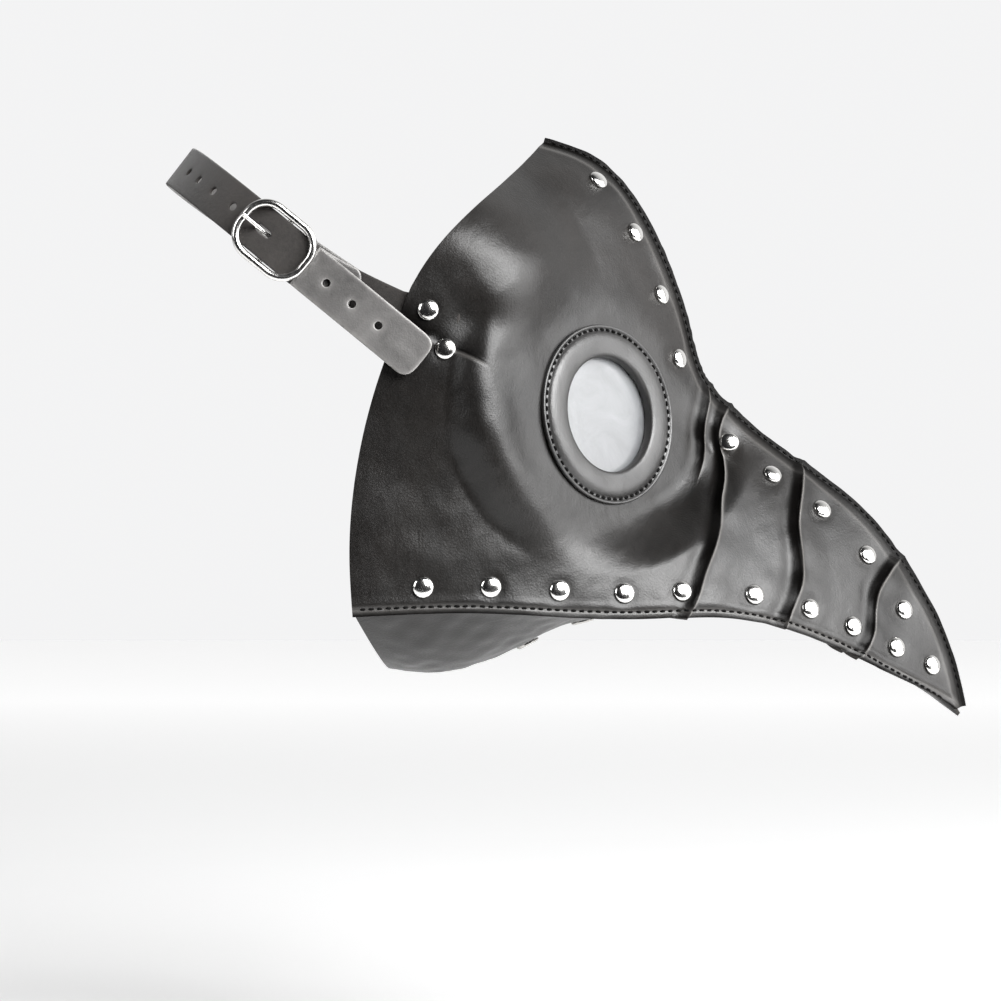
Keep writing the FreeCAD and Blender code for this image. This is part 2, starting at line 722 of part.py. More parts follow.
# ---------------------------------------------------------------- buckle strap
bar_foot = V(bar_centre.x, 0, bar_centre.z)
strap_foot = V(0, 0, -anchor_drop)
bend_foot = bar_foot + forward * bump_reach
strap_run = bump_reach + (strap_foot - bend_foot).Length
fold_end = strap_run - fold_reach / math.cos(pitch)
fold_rivet_at = fold_end - fold_rivet_inset


def fold_line(d):
    """The buckle strap's middle line, d from the bar: straight, then bent to its rivet."""
    if d <= bump_reach:
        return bar_foot + forward * d, forward
    share = (d - bump_reach) / (strap_run - bump_reach)
    guide = bend_foot + forward * fold_bend
    a = bend_foot * (1 - share) + guide * share
    b = guide * (1 - share) + strap_foot * share
    return a * (1 - share) + b * share, (b - a).normalize()


def fold_point(d, level):
    """A point of the fold's middle at a level from the middle plane, and the strap's width there."""
    place, along = fold_line(d)
    return V(place.x, -level, place.z), V(-along.z, 0, along.x)


def fold_path():
    """The buckle strap's middle, from its rivet back to the bar, round it and forward again."""
    turn_r = bar_d / 2 + bar_fit + strap_t / 2
    folded_mid = strap_out + fold_gap + strap_t / 2
    rise_share = (bar_level + turn_r - folded_mid) / bar_rise
    layout = [fold_point(strap_run * (1 - i / FOLD_STEPS), strap_mid) for i in range(FOLD_STEPS)]
    for i in range(TURN_STEPS + 1):
        turn = math.pi * i / TURN_STEPS
        back = forward * (-turn_r * math.sin(turn))
        level = outward * (-turn_r * math.cos(turn))
        layout.append((bar_centre + back + level, upward))
    for i in range(1, FOLD_STEPS + 1):
        d = fold_end * i / FOLD_STEPS
        layout.append(fold_point(d, folded_mid + over_bar(d) * rise_share))
    return [p for p, w in layout], [w for p, w in layout]


def build_buckle_strap():
    half_w = strap_w / 2
    strap = ribbon(*fold_path()).fuse(strap_tab(-strap_mid)).removeSplitter()
    bore = bar_d / 2 + bar_fit
    cuts = slot_at(-bore - strap_t - GROW, prong_slot_front, prong_slot)
    end, along = fold_line(fold_end)
    for s in (1, -1):
        side = V(-along.z, 0, along.x) * s
        place = V(end.x, -(strap_out + fold_gap / 2), end.z) + side * half_w
        cuts.append(corner_cut(place, along, side, strap_t + GROW))
    root, along = fold_line(strap_run)
    side = V(along.z, 0, -along.x)
    place = V(root.x, -(strap_out - strap_t - GROW), root.z) + side * half_w
    cuts.append(corner_cut(place, along, side, strap_t + 2 * GROW))
    cuts.append(punch(V(0, -strap_mid, 0), outward, hole_r))
    rivet_place, _ = fold_point(fold_rivet_at, strap_mid)
    cuts.append(punch(rivet_place, outward, hole_r))
    return strap.cut(cuts)


def build_fold_rivet():
    """A flat rivet through both layers of the fold, under the tail."""
    place, _ = fold_point(fold_rivet_at, fold_out)
    post_r, head_r = rivet_post / 2, back_cap / 2
    near, far = fold_rivet_seat, -(2 * strap_t + fold_gap + fold_rivet_seat)
    profile = [(0, far - back_cap_t), (head_r, far - back_cap_t), (head_r, far), (post_r, far),
               (post_r, near), (head_r, near), (head_r, near + fold_rivet_t), (0, near + fold_rivet_t)]
    return turned(profile, place, outward)


save("buckle_strap", build_buckle_strap())
save("fold_rivet", build_fold_rivet())


# ---------------------------------------------------------------- buckle
def wire_loop(points):
    """The buckle's round wire, bent round a closed rectangle of points."""
    edges = []
    for i, here in enumerate(points):
        before, after = points[i - 1], points[(i + 1) % len(points)]
        a = here + (before - here).normalize() * buckle_corner
        b = here + (after - here).normalize() * buckle_corner
        c = after + (here - after).normalize() * buckle_corner
        centre = a + (b - here)
        middle = centre + (here - centre).normalize() * buckle_corner
        edges.append(Part.Arc(a, middle, b).toShape())
        edges.append(line(b, c))
    start = edges[1].Vertexes[0].Point
    direction = (edges[1].Vertexes[1].Point - start).normalize()
    section = Part.Wire(Part.makeCircle(buckle_wire / 2, start, direction))
    return Part.Wire(edges).makePipeShell([section], True, False)


def build_buckle():
    centre = near_buckle(0, rail_level)
    corners = [centre + forward * (rail_reach * f) + upward * (rail_half * s)
               for f, s in ((1, 1), (-1, 1), (-1, -1), (1, -1))]
    bar_r = bar_d / 2
    ends = [bar_centre - upward * rail_half, bar_centre + upward * rail_half]
    bar = rod(ends[0], upward, bar_r, 2 * rail_half)
    posts = [rod(end, outward, bar_r, rail_level - bar_level) for end in ends]
    knees = [Part.makeSphere(bar_r, end) for end in ends]
    return wire_loop(corners).fuse([bar] + posts + knees).removeSplitter()


def build_prong():
    """A ring round the bar and a tapered pin that rests on the rear rail."""
    ring_in = bar_d / 2 + bar_fit
    ring_out = ring_in + prong_wall
    tip_r = prong_d / 2 * prong_taper
    start = bar_centre - upward * (prong_d / 2)
    eye = rod(start, upward, ring_out, prong_d).cut(rod(start, upward, ring_in, prong_d))
    rest = near_buckle(-rail_reach, rail_level + buckle_wire / 2 + tip_r + prong_rest)
    root = bar_centre + (rest - bar_centre).normalize() * (ring_in + prong_wall / 2)
    axis = (rest - root).normalize()
    pin = Part.makeCone(prong_d / 2, tip_r, (rest - root).Length, root, axis)
    return eye.fuse([pin, Part.makeSphere(tip_r, rest)]).removeSplitter()


save("buckle_frame", build_buckle())
save("buckle_prong", build_prong())
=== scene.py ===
"""Plague doctor mask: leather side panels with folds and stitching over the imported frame, eye rings and
lenses, rivets, vents, and a buckled head strap, on a plain pale stage.

Lengths are worked out in millimetres, in the frame's axes, and turned into metres where a mesh is made.
"""
import math
import bpy
import numpy as np
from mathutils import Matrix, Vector, geometry


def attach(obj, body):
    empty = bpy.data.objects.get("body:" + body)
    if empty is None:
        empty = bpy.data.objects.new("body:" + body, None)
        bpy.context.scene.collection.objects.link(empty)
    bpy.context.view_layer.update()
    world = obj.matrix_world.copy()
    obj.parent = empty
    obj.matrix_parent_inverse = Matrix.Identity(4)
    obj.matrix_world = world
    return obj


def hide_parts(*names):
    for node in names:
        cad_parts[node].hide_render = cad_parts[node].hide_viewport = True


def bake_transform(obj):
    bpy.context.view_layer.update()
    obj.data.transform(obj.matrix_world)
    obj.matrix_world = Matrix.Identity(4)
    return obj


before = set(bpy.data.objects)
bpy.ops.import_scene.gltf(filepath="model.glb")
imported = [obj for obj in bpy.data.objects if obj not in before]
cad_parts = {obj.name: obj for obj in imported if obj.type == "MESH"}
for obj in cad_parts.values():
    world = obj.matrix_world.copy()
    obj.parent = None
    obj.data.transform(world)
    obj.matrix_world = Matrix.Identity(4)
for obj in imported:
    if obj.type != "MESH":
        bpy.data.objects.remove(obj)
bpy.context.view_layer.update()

# ---------------------------------------------------------------- sizes, in millimetres
BEAK_REACH, MASK_HEIGHT, HEAD_WIDTH = 214.0, 234.0, 160.0
LEATHER, SEAM, LEAF = 1.8, 2.0, 1.5
LOWER_WIDTH, TIP_WIDTH, FULLNESS = 157.0, 8.0, 1.75
CROWN_REAR, CROWN_TIP = 5.2, 1.5
EYE_HALF, EYE_SLOPE, EYE_LEAN = 43.0, math.tan(math.radians(43.0)), 0.15
EYE_FLAT, EYE_BLEND, EYE_FADE = 36.5, 26.0, 0.80
TEMPLE_FLAT, TEMPLE_BLEND = 21.0, 48.0

RIDGE = [(0.210, 0.314), (0.313, 0.2765), (0.388, 0.1996), (0.444, 0.097), (0.481, -0.0056),
         (0.515, -0.0996), (0.5654, -0.151), (0.687, -0.2363), (0.799, -0.3132),
         (0.883, -0.4073), (0.9486, -0.5098), (0.986, -0.6124), (0.996, -0.656)]
REAR = [(-0.1327, -0.4932), (-0.138, -0.402), (-0.1285, -0.2726), (-0.0935, -0.128),
        (-0.046, -0.002), (-0.032, 0.033), (0.1, 0.192), (0.210, 0.314)]
LOWER = [(-0.1327, -0.4932), (-0.0495, -0.4897), (0.0664, -0.4872), (0.2327, -0.4944),
         (0.376, -0.499), (0.4855, -0.497), (0.596, -0.5064), (0.709, -0.538), (0.7855, -0.569),
         (0.874, -0.6085), (0.9435, -0.641), (0.977, -0.6607)]
CHIN = [(-0.079, -0.592), (-0.014, -0.598), (0.065, -0.590), (0.152, -0.558), (0.262, -0.513),
        (0.42, -0.495), (0.584, -0.500), (0.724, -0.5363), (0.818, -0.577), (0.883, -0.612),
        (0.949, -0.652), (0.986, -0.677)]
FOREHEAD_RIVETS = [0.099, 0.195, 0.290, 0.381]
BEAK_RIVETS = [0.495, 0.564, 0.647, 0.745, 0.839]
LOWER_RIVETS = [0.109, 0.210, 0.315, 0.418, 0.511, 0.620, 0.707, 0.781, 0.861, 0.930]
EYE_X, EYE_Z = 0.3187 * BEAK_REACH, -0.1637 * MASK_HEIGHT


def smooth(t):
    """0 below 0, 1 above 1, and level at both ends."""
    t = np.clip(t, 0.0, 1.0)
    return t * t * (3.0 - 2.0 * t)


def spline(points, count=2001):
    """A natural cubic through points, as evenly spaced points along it."""
    p = np.array(points, float)
    t = np.concatenate([[0.0], np.cumsum(np.linalg.norm(np.diff(p, axis=0), axis=1))])
    n, h = len(t), np.diff(t)
    left, right = np.eye(n), np.zeros(p.shape)
    for i in range(1, n - 1):
        left[i, i - 1:i + 2] = h[i - 1], 2 * (h[i - 1] + h[i]), h[i]
        right[i] = 6 * ((p[i + 1] - p[i]) / h[i] - (p[i] - p[i - 1]) / h[i - 1])
    bend = np.linalg.solve(left, right)
    fine = np.linspace(0, t[-1], 2 * count)
    k = np.clip(np.searchsorted(t, fine, side="right") - 1, 0, n - 2)
    a = ((t[k + 1] - fine) / h[k])[:, None]
    b = 1 - a
    square = (h[k] ** 2)[:, None] / 6
    q = a * p[k] + b * p[k + 1] + ((a ** 3 - a) * bend[k] + (b ** 3 - b) * bend[k + 1]) * square
    run = np.concatenate([[0.0], np.cumsum(np.linalg.norm(np.diff(q, axis=0), axis=1))])
    even = np.linspace(0, run[-1], count)
    return np.stack([np.interp(even, run, q[:, c]) for c in range(q.shape[1])], axis=1)


class Outline:
    """A smooth line in the side view, read by the share of its length."""

    def __init__(self, shares):
        self.points = spline([(x * BEAK_REACH, z * MASK_HEIGHT) for x, z in shares])
        self.shares = np.linspace(0, 1, len(self.points))
        self.length = np.linalg.norm(np.diff(self.points, axis=0), axis=1).sum()

    def at(self, share):
        return np.stack([np.interp(share, self.shares, self.points[:, c]) for c in (0, 1)], axis=-1)

    def along(self, share):
        step = 1 / 240
        d = self.at(np.clip(share + step, 0, 1)) - self.at(np.clip(share - step, 0, 1))
        return d / np.linalg.norm(d, axis=-1, keepdims=True)


ridge_top, rear, lower, chin = Outline(RIDGE), Outline(REAR), Outline(LOWER), Outline(CHIN)


def inward(d):
    """Square to a direction in the side view, turned to its right."""
    return np.stack([d[..., 1], -d[..., 0]], axis=-1)


def ridge(share):
    return ridge_top.at(share) + inward(ridge_top.along(share)) * SEAM


def net(u, v):
    """Places in the side view: u from the rear edge to the tip, v from the lower edge to the ridge."""
    u, v = np.broadcast_arrays(np.asarray(u, float), np.asarray(v, float))
    U, W = u[..., None], v[..., None]
    zero, one = np.zeros(1), np.ones(1)
    low_rear, low_tip = lower.at(zero)[0], lower.at(one)[0]
    top_rear, top_tip = ridge(zero)[0], ridge(one)[0]
    rear_fit = (top_rear - rear.at(one)[0]) * W
    edges = lower.at(u) * (1 - W) + ridge(u) * W
    sides = (rear.at(v) + rear_fit) * (1 - U) + (low_tip * (1 - W) + top_tip * W) * U
    corners = (low_rear * (1 - W) + top_rear * W) * (1 - U) + (low_tip * (1 - W) + top_tip * W) * U
    return edges + sides - corners


def half_width(u, v, place):
    lower_half = TIP_WIDTH / 2 + (LOWER_WIDTH - TIP_WIDTH) / 2 * (1 - u ** FULLNESS)
    crown = CROWN_TIP + (CROWN_REAR - CROWN_TIP) * (1 - u) ** 4
    half = LEAF + (lower_half - LEAF) * (1 - v ** crown)
    x, z = place[..., 0], place[..., 1]
    temple = 1 - smooth((np.hypot(x, z) - TEMPLE_FLAT) / TEMPLE_BLEND)
    half = half + (HEAD_WIDTH / 2 - half) * temple
    dx, dz = x - EYE_X, z - EYE_Z
    eye = 1 - smooth((np.hypot(dx, dz) - EYE_FLAT) / EYE_BLEND)
    eye = eye * (1 - smooth((v - EYE_FADE) / (1 - EYE_FADE)))
    return half + (EYE_HALF - EYE_SLOPE * dx - EYE_LEAN * dz - half) * eye


def skin(u, v):
    """Points of the right panel's plain outer face."""
    u, v = np.broadcast_arrays(np.asarray(u, float), np.asarray(v, float))
    place = net(u, v)
    return np.stack([place[..., 0], -half_width(u, v, place), place[..., 1]], axis=-1)


# ---------------------------------------------------------------- materials
class Nodes:
    """A node tree, built by short calls."""

    def __init__(self, tree):
        self.nodes, self.links = tree.nodes, tree.links

    def connect(self, value, socket):
        if isinstance(value, bpy.types.NodeSocket):
            self.links.new(value, socket)
        else:
            socket.default_value = value

    def fill(self, node, inputs):
        """Values or links for a node's inputs, whose names have _ for each space."""
        for key, value in inputs.items():
            self.connect(value, node.inputs[key.replace("_", " ")])

    def node(self, kind, result, **inputs):
        """One result of a new node."""
        made = self.nodes.new("ShaderNode" + kind)
        self.fill(made, inputs)
        return made.outputs[result]

    def math(self, mode, *values):
        made = self.nodes.new("ShaderNodeMath")
        made.operation = mode
        for value, socket in zip(values, made.inputs):
            self.connect(value, socket)
        return made.outputs["Value"]

    def ramp(self, value, stops):
        made = self.nodes.new("ShaderNodeValToRGB")
        while len(made.color_ramp.elements) < len(stops):
            made.color_ramp.elements.new(0.5)
        for element, (at, colour) in zip(made.color_ramp.elements, stops):
            element.position = at
            element.color = (*colour, 1.0)
        self.links.new(value, made.inputs["Fac"])
        return made.outputs["Color"]

    def span(self, value, low, high, new_low=0.0, new_high=1.0):
        return self.node("MapRange", "Result", Value=value, From_Min=low, From_Max=high, To_Min=new_low,
                         To_Max=new_high)


class Shader(Nodes):
    """A material's nodes round its one surface shader."""

    def __init__(self, name, **settings):
        self.material = bpy.data.materials.new(name)
        self.material.use_nodes = True
        super().__init__(self.material.node_tree)
        self.bsdf = next(n for n in self.nodes if n.type == "BSDF_PRINCIPLED")
        self.fill(self.bsdf, settings)
        self.place = self.node("TexCoord", "Object")

    def stretched(self, *scale):
        return self.node("Mapping", "Vector", Vector=self.place, Scale=scale)

    def noise(self, scale, detail=3.0, rough=0.55, at=None, distortion=0.0):
        return self.node("TexNoise", "Fac", Vector=at or self.place, Scale=scale, Detail=detail,
                         Roughness=rough, Distortion=distortion)

    def cells(self, scale):
        return self.node("TexVoronoi", "Distance", Vector=self.place, Scale=scale)

    def mix(self, factor, colour, other):
        made = self.nodes.new("ShaderNodeMix")
        made.data_type = "RGBA"
        for key, value in (("Factor", factor), (6, colour), (7, (*other, 1.0))):
            self.connect(value, made.inputs[key])
        return made.outputs[2]

    def bump(self, height, strength, distance, **under):
        return self.node("Bump", "Normal", Height=height, Strength=strength, Distance=distance, **under)

    def attribute(self, name):
        made = self.nodes.new("ShaderNodeAttribute")
        made.attribute_name = name
        return made.outputs["Fac"]

    def use(self, **inputs):
        self.fill(self.bsdf, inputs)
        return self.material


# Colour of the painted shade in folds and seams, colour of the painted highlight on crests and seam beads, and the
# specular level where shade is painted.
PAINTED_SHADE_COLOUR, PAINTED_HIGHLIGHT_COLOUR, PAINTED_SHADE_SPECULAR = (0.0018, 0.0016, 0.0015), (0.11, 0.105, 0.10), 0.03


def leather(name, colours, rough, spec, grain=1250.0, blotch=16.0, edge_tint=None, folds=False):
    """Satin leather: fine grain, cloudy colour and gloss, shallow creases, and either edges made lighter in streaky
    patches or painted shade and painted highlights along folds and seams.
    """
    s = Shader(name, Specular_IOR_Level=spec)
    cloud = s.noise(blotch, 4.0, 0.6, distortion=0.4)
    colour = s.ramp(cloud, list(zip((0.30, 0.52, 0.74), colours)))
    colour = s.mix(s.span(s.noise(420.0, 3.0, 0.6), 0.35, 0.75, 0.0, 0.35), colour, colours[-1])
    if edge_tint:
        # Lighter towards the cut edges and the holes' rims, in streaky patches.
        edge_streaks = s.span(s.noise(260.0, 4.0, 0.7), 0.25, 0.7, 0.25)
        colour = s.mix(s.math("MULTIPLY", s.attribute("edge_lightening"), edge_streaks), colour, edge_tint)
    # Painted highlight and painted shade, read from the panel's points; where shade is painted the leather also
    # reflects less.
    if folds:
        shade_mask = s.attribute("painted_shade")
        colour = s.mix(s.attribute("painted_highlight"), colour, PAINTED_HIGHLIGHT_COLOUR)
        colour = s.mix(shade_mask, colour, PAINTED_SHADE_COLOUR)
        s.use(Specular_IOR_Level=s.span(shade_mask, 0.0, 1.0, spec, PAINTED_SHADE_SPECULAR))
    pebble = s.cells(grain)
    gloss = s.span(s.noise(38.0, 4.0, 0.6), 0.3, 0.7, *rough)
    crease = s.noise(95.0, 5.0, 0.62, at=s.stretched(1.0, 1.0, 0.45), distortion=1.6)
    creased = s.bump(crease, 0.16, 0.0009)
    grained = s.bump(pebble, 0.34, 0.00011, Normal=creased)
    pored = s.bump(s.noise(2600.0, 2.0, 0.5), 0.20, 0.00005, Normal=grained)
    return s.use(Base_Color=colour, Normal=pored,
                 Roughness=s.math("ADD", gloss, s.span(pebble, 0.0, 0.9, 0.05, -0.04)))


LEATHER_MAT = leather("black_leather",
                      [(0.0028, 0.0026, 0.0025), (0.0052, 0.0045, 0.0040), (0.0095, 0.0080, 0.0070)],
                      (0.34, 0.43), 0.42, folds=True)
RING_MAT = leather("ring_leather_black",
                   [(0.010, 0.0095, 0.0095), (0.014, 0.0134, 0.013), (0.020, 0.019, 0.0185)],
                   (0.36, 0.46), 0.75, grain=1400.0, blotch=30.0)
# The strap is the same black leather as the panels, but its base colours are many times lighter: its satin sheen is
# painted into the colour.
PAINTED_SHEEN_STRAP_MAT = leather("strap_leather_painted_sheen",
                    [(0.055, 0.053, 0.052), (0.090, 0.087, 0.085), (0.135, 0.131, 0.128)],
                    (0.32, 0.46), 0.6, grain=1300.0, blotch=45.0, edge_tint=(0.34, 0.33, 0.32))


def raw_edge(name, dark, light):
    """Cut leather: fibrous, dull, with the black finish bleeding in."""
    s = Shader(name, Specular_IOR_Level=0.25)
    fibre = s.noise(900.0, 4.0, 0.7)
    return s.use(Base_Color=s.ramp(fibre, [(0.3, dark), (0.72, light)]),
                 Roughness=s.span(fibre, 0.2, 0.8, 0.62, 0.88), Normal=s.bump(fibre, 0.55, 0.00018))


EDGE_MAT = raw_edge("cut_edge", (0.007, 0.0065, 0.006), (0.030, 0.026, 0.023))
STRAP_EDGE = raw_edge("strap_cut_edge", (0.012, 0.011, 0.010), (0.045, 0.038, 0.034))


def flesh():
    """The inner side: brushed backing with short fibres."""
    s = Shader("flesh_side", Specular_IOR_Level=0.2, Sheen_Weight=0.25, Sheen_Roughness=0.5)
    nap = s.noise(700.0, 5.0, 0.75)
    cloud = s.noise(28.0, 3.0, 0.6)
    colour = s.ramp(cloud, [(0.3, (0.013, 0.012, 0.0115)), (0.7, (0.030, 0.027, 0.025))])
    colour = s.mix(s.span(nap, 0.3, 0.75, 0.0, 0.5), colour, (0.050, 0.045, 0.042))
    return s.use(Base_Color=colour, Roughness=s.span(nap, 0.2, 0.8, 0.80, 0.95),
                 Normal=s.bump(nap, 0.6, 0.00025))


def metal(name, colour, rough, scratch=1.5):
    """Polished plate with fine scratches and a faint haze."""
    s = Shader(name, Metallic=1.0)
    lines = s.noise(1500.0, 3.0, 0.6, at=s.stretched(1.0, 0.12, 0.12))
    haze = s.noise(240.0, 4.0, 0.65)
    dulled = s.math("ADD", s.span(haze, 0.3, 0.75, *rough), s.span(lines, 0.45, 0.75, 0.0, 0.05 * scratch))
    return s.use(Base_Color=s.ramp(haze, [(0.30, [c * 0.90 for c in colour]), (0.70, colour)]),
                 Roughness=dulled, Normal=s.bump(lines, 0.05 * scratch, 0.00002))


def thread():
    """Black waxed thread with its twist."""
    s = Shader("waxed_thread", Specular_IOR_Level=0.08)
    twist = s.noise(2400.0, 2.0, 0.5, at=s.stretched(1.0, 1.0, 2.2))
    return s.use(Base_Color=s.ramp(twist, [(0.3, (0.0012, 0.0012, 0.0013)), (0.7, (0.004, 0.0038, 0.0036))]),
                 Roughness=s.span(twist, 0.2, 0.8, 0.62, 0.82), Normal=s.bump(twist, 0.5, 0.00012))


def frosted():
    """Frosted grey plastic, hazy and lightly smudged."""
    s = Shader("frosted_lens", IOR=1.49, Transmission_Weight=0.08, Specular_IOR_Level=0.5, Coat_Weight=0.35,
               Coat_Roughness=0.08)
    smudge = s.noise(52.0, 5.0, 0.65, distortion=0.8)
    dust = s.noise(900.0, 2.0, 0.5)
    colour = s.ramp(smudge, [(0.30, (0.11, 0.113, 0.118)), (0.70, (0.17, 0.175, 0.18))])
    colour = s.mix(s.span(dust, 0.66, 0.85, 0.0, 0.12), colour, (0.40, 0.40, 0.40))
    return s.use(Base_Color=colour, Roughness=s.span(smudge, 0.25, 0.75, 0.26, 0.42),
                 Normal=s.bump(smudge, 0.10, 0.0005))


FLESH_MAT = flesh()
NICKEL = metal("polished_nickel", (0.86, 0.85, 0.83), (0.12, 0.20), scratch=1.0)
BUCKLE_METAL = metal("buckle_nickel", (0.84, 0.83, 0.81), (0.14, 0.24))
EYELET_METAL = metal("eyelet_metal", (0.52, 0.51, 0.49), (0.14, 0.28))
THREAD = thread()
LENS_MAT = frosted()
PANEL_MATS = [LEATHER_MAT, EDGE_MAT, FLESH_MAT]
STRAP_MATS = [PAINTED_SHEEN_STRAP_MAT, FLESH_MAT, STRAP_EDGE]

# ---------------------------------------------------------------- meshes
MM = 0.001


def mesh_piece(name, points, faces, materials, body, replaces=(), kinds=None, sharp=50):
    """A piece from points in millimetres, riding on a body. kinds is the material number of each face."""
    data = bpy.data.meshes.new(name)
    data.from_pydata((np.asarray(points, float) * MM).tolist(), [], faces)
    for m in materials:
        data.materials.append(m)
    if kinds is not None:
        data.polygons.foreach_set("material_index", np.asarray(kinds, np.int32))
    data.polygons.foreach_set("use_smooth", np.ones(len(data.polygons), bool))
    data.validate(verbose=False)
    data.set_sharp_from_angle(angle=math.radians(sharp))
    data.update()
    piece = bpy.data.objects.new(name, data)
    bpy.context.scene.collection.objects.link(piece)
    if body:
        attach(piece, body)
    if replaces:
        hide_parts(*replaces)
    return piece


def shade_points(piece, name, values):
    """A number for each point of a piece, for its material to read."""
    layer = piece.data.attributes.new(name, "FLOAT", "POINT")
    layer.data.foreach_set("value", np.asarray(values, np.float32))


def strip(rows):
    """Quads between neighbouring rows of point numbers, all rows equally long."""
    a = np.asarray(rows)
    quads = np.stack([a[:-1, :-1], a[1:, :-1], a[1:, 1:], a[:-1, 1:]], axis=-1)
    return quads.reshape(-1, 4)


def bridge(a, b):
    """Triangles between two lines of point numbers that hold different counts."""
    faces, i, j = [], 0, 0
    while i < len(a) - 1 or j < len(b) - 1:
        if j == len(b) - 1 or (i < len(a) - 1 and (i + 1) * (len(b) - 1) <= (j + 1) * (len(a) - 1)):
            faces.append((int(a[i]), int(a[i + 1]), int(b[j])))
            i += 1
        else:
            faces.append((int(a[i]), int(b[j + 1]), int(b[j])))
            j += 1
    return faces


def merge(parts):
    """Several (points, faces) as one."""
    points, faces, base = [], [], 0
    for p, f in parts:
        points.append(np.asarray(p, float))
        faces += [tuple(int(i) + base for i in face) for face in f]
        base += len(p)
    return np.concatenate(points), faces


def frame_of(axis):
    """Two directions square to an axis and to each other."""
    axis = np.asarray(axis, float) / np.linalg.norm(axis)
    up = np.array([0.0, 0.0, 1.0]) if abs(axis[2]) < 0.9 else np.array([1.0, 0.0, 0.0])
    side = np.cross(up, axis)
    side /= np.linalg.norm(side)
    return axis, side, np.cross(axis, side)


def lathe(profile, point, axis, count=48, wobble=None):
    """A closed turned shape from (radius, height) pairs that start and end on the axis or are a loop."""
    axis, side, top = frame_of(axis)
    turn = np.linspace(0, 2 * math.pi, count, endpoint=False)
    around = np.outer(np.cos(turn), side) + np.outer(np.sin(turn), top)
    points, faces, rows = [], [], []
    for k, (r, h) in enumerate(profile):
        if r < 1e-6:
            rows.append(np.full(count, len(points)))
            points.append(np.asarray(point) + axis * h)
            continue
        rows.append(np.arange(len(points), len(points) + count))
        out, rise = (wobble(turn, r, h) if wobble else (0.0, 0.0))
        ring = np.asarray(point) + around * (r + np.broadcast_to(out, turn.shape))[:, None]
        points += list(ring + np.outer(np.broadcast_to(h + rise, turn.shape), axis))
    loop = rows if profile[0][0] < 1e-6 else rows + rows[:1]
    for a, b in zip(loop, loop[1:]):
        for i in range(count):
            j = (i + 1) % count
            face = [a[i], a[j], b[j], b[i]]
            kept = [x for n, x in enumerate(face) if x not in face[:n]]
            if len(kept) > 2:
                faces.append(tuple(int(x) for x in kept))
    return np.array(points), faces


def mirror(points):
    return np.asarray(points) * np.array([1.0, -1.0, 1.0])


def flipped(faces):
    return [tuple(reversed([int(i) for i in f])) for f in faces]


def waves(a, b, seed, length, count=7):
    """A smooth random height from -1 to 1 over a plane, with waves about this long."""
    rng = np.random.default_rng(seed)
    total = np.zeros(np.broadcast(a, b).shape)
    for _ in range(count):
        turn, phase = rng.uniform(0, 2 * math.pi, 2)
        k = 2 * math.pi / (length * rng.uniform(0.7, 1.5))
        total = total + np.sin(k * (a * math.cos(turn) + b * math.sin(turn)) + phase)
    return total / count * 1.8


def line_field(x, z, points):
    """For each place, the distance to a line through points, which side it is on, and the share along it."""
    path = spline(points, 160)
    best = np.full(x.shape, 1e9)
    side, share = np.zeros(x.shape), np.zeros(x.shape)
    for i in range(len(path) - 1):
        a, d = path[i], path[i + 1] - path[i]
        t = np.clip(((x - a[0]) * d[0] + (z - a[1]) * d[1]) / (d @ d), 0, 1)
        px, pz = x - a[0] - t * d[0], z - a[1] - t * d[1]
        dist = np.hypot(px, pz)
        closer = dist < best
        best = np.where(closer, dist, best)
        side = np.where(closer, np.sign(d[0] * pz - d[1] * px), side)
        share = np.where(closer, (i + t) / (len(path) - 1), share)
    return best, side, share
# ---------------------------------------------------------------- the panels' folds, in the side view
PLEATS = [  # the crest's line from the ridge down, its height, and how far up the panel it fades out
    dict(line=[(110.0, -26.5), (110.3, -33.4), (108.8, -40.7), (108.4, -49.3), (107.7, -58.1), (105.0, -64.0),
               (100.0, -80.0), (92.0, -100.0), (86.0, -115.5)], rise=1.9, stop=0.70),
    dict(line=[(118.2, -34.5), (115.2, -41.6), (115.8, -51.6), (117.2, -61.1), (114.9, -73.2), (110.7, -90.4),
               (105.8, -102.0), (102.4, -111.6), (98.4, -115.6)], rise=2.7, stop=None),
    dict(line=[(148.0, -57.0), (146.8, -69.8), (144.4, -83.0), (145.6, -98.0), (144.3, -107.6), (140.9, -114.9),
               (137.5, -121.2)], rise=2.5, stop=None),
    dict(line=[(186.4, -95.5), (180.3, -103.0), (176.4, -108.8), (174.8, -119.4), (172.9, -127.9),
               (166.8, -134.0)], rise=2.3, stop=None),
]
PLEAT_FADE = 0.10             # half the share of the panel's height over which a pleat fades out
PLEAT_FOOT = 5.2              # how far behind its crest a pleat's foot is
PLEAT_RUN = 15.0              # how far in front of it the leather is level again
DART = [(-13.0, -4.2), (-8.0, -6.6), (-3.9, -8.4), (2.2, -10.6), (10.8, -14.6), (16.9, -17.1), (25.0, -22.4)]
EYE_SCALLOP = 24.6            # panel faces nearer the eye's middle than this are left out


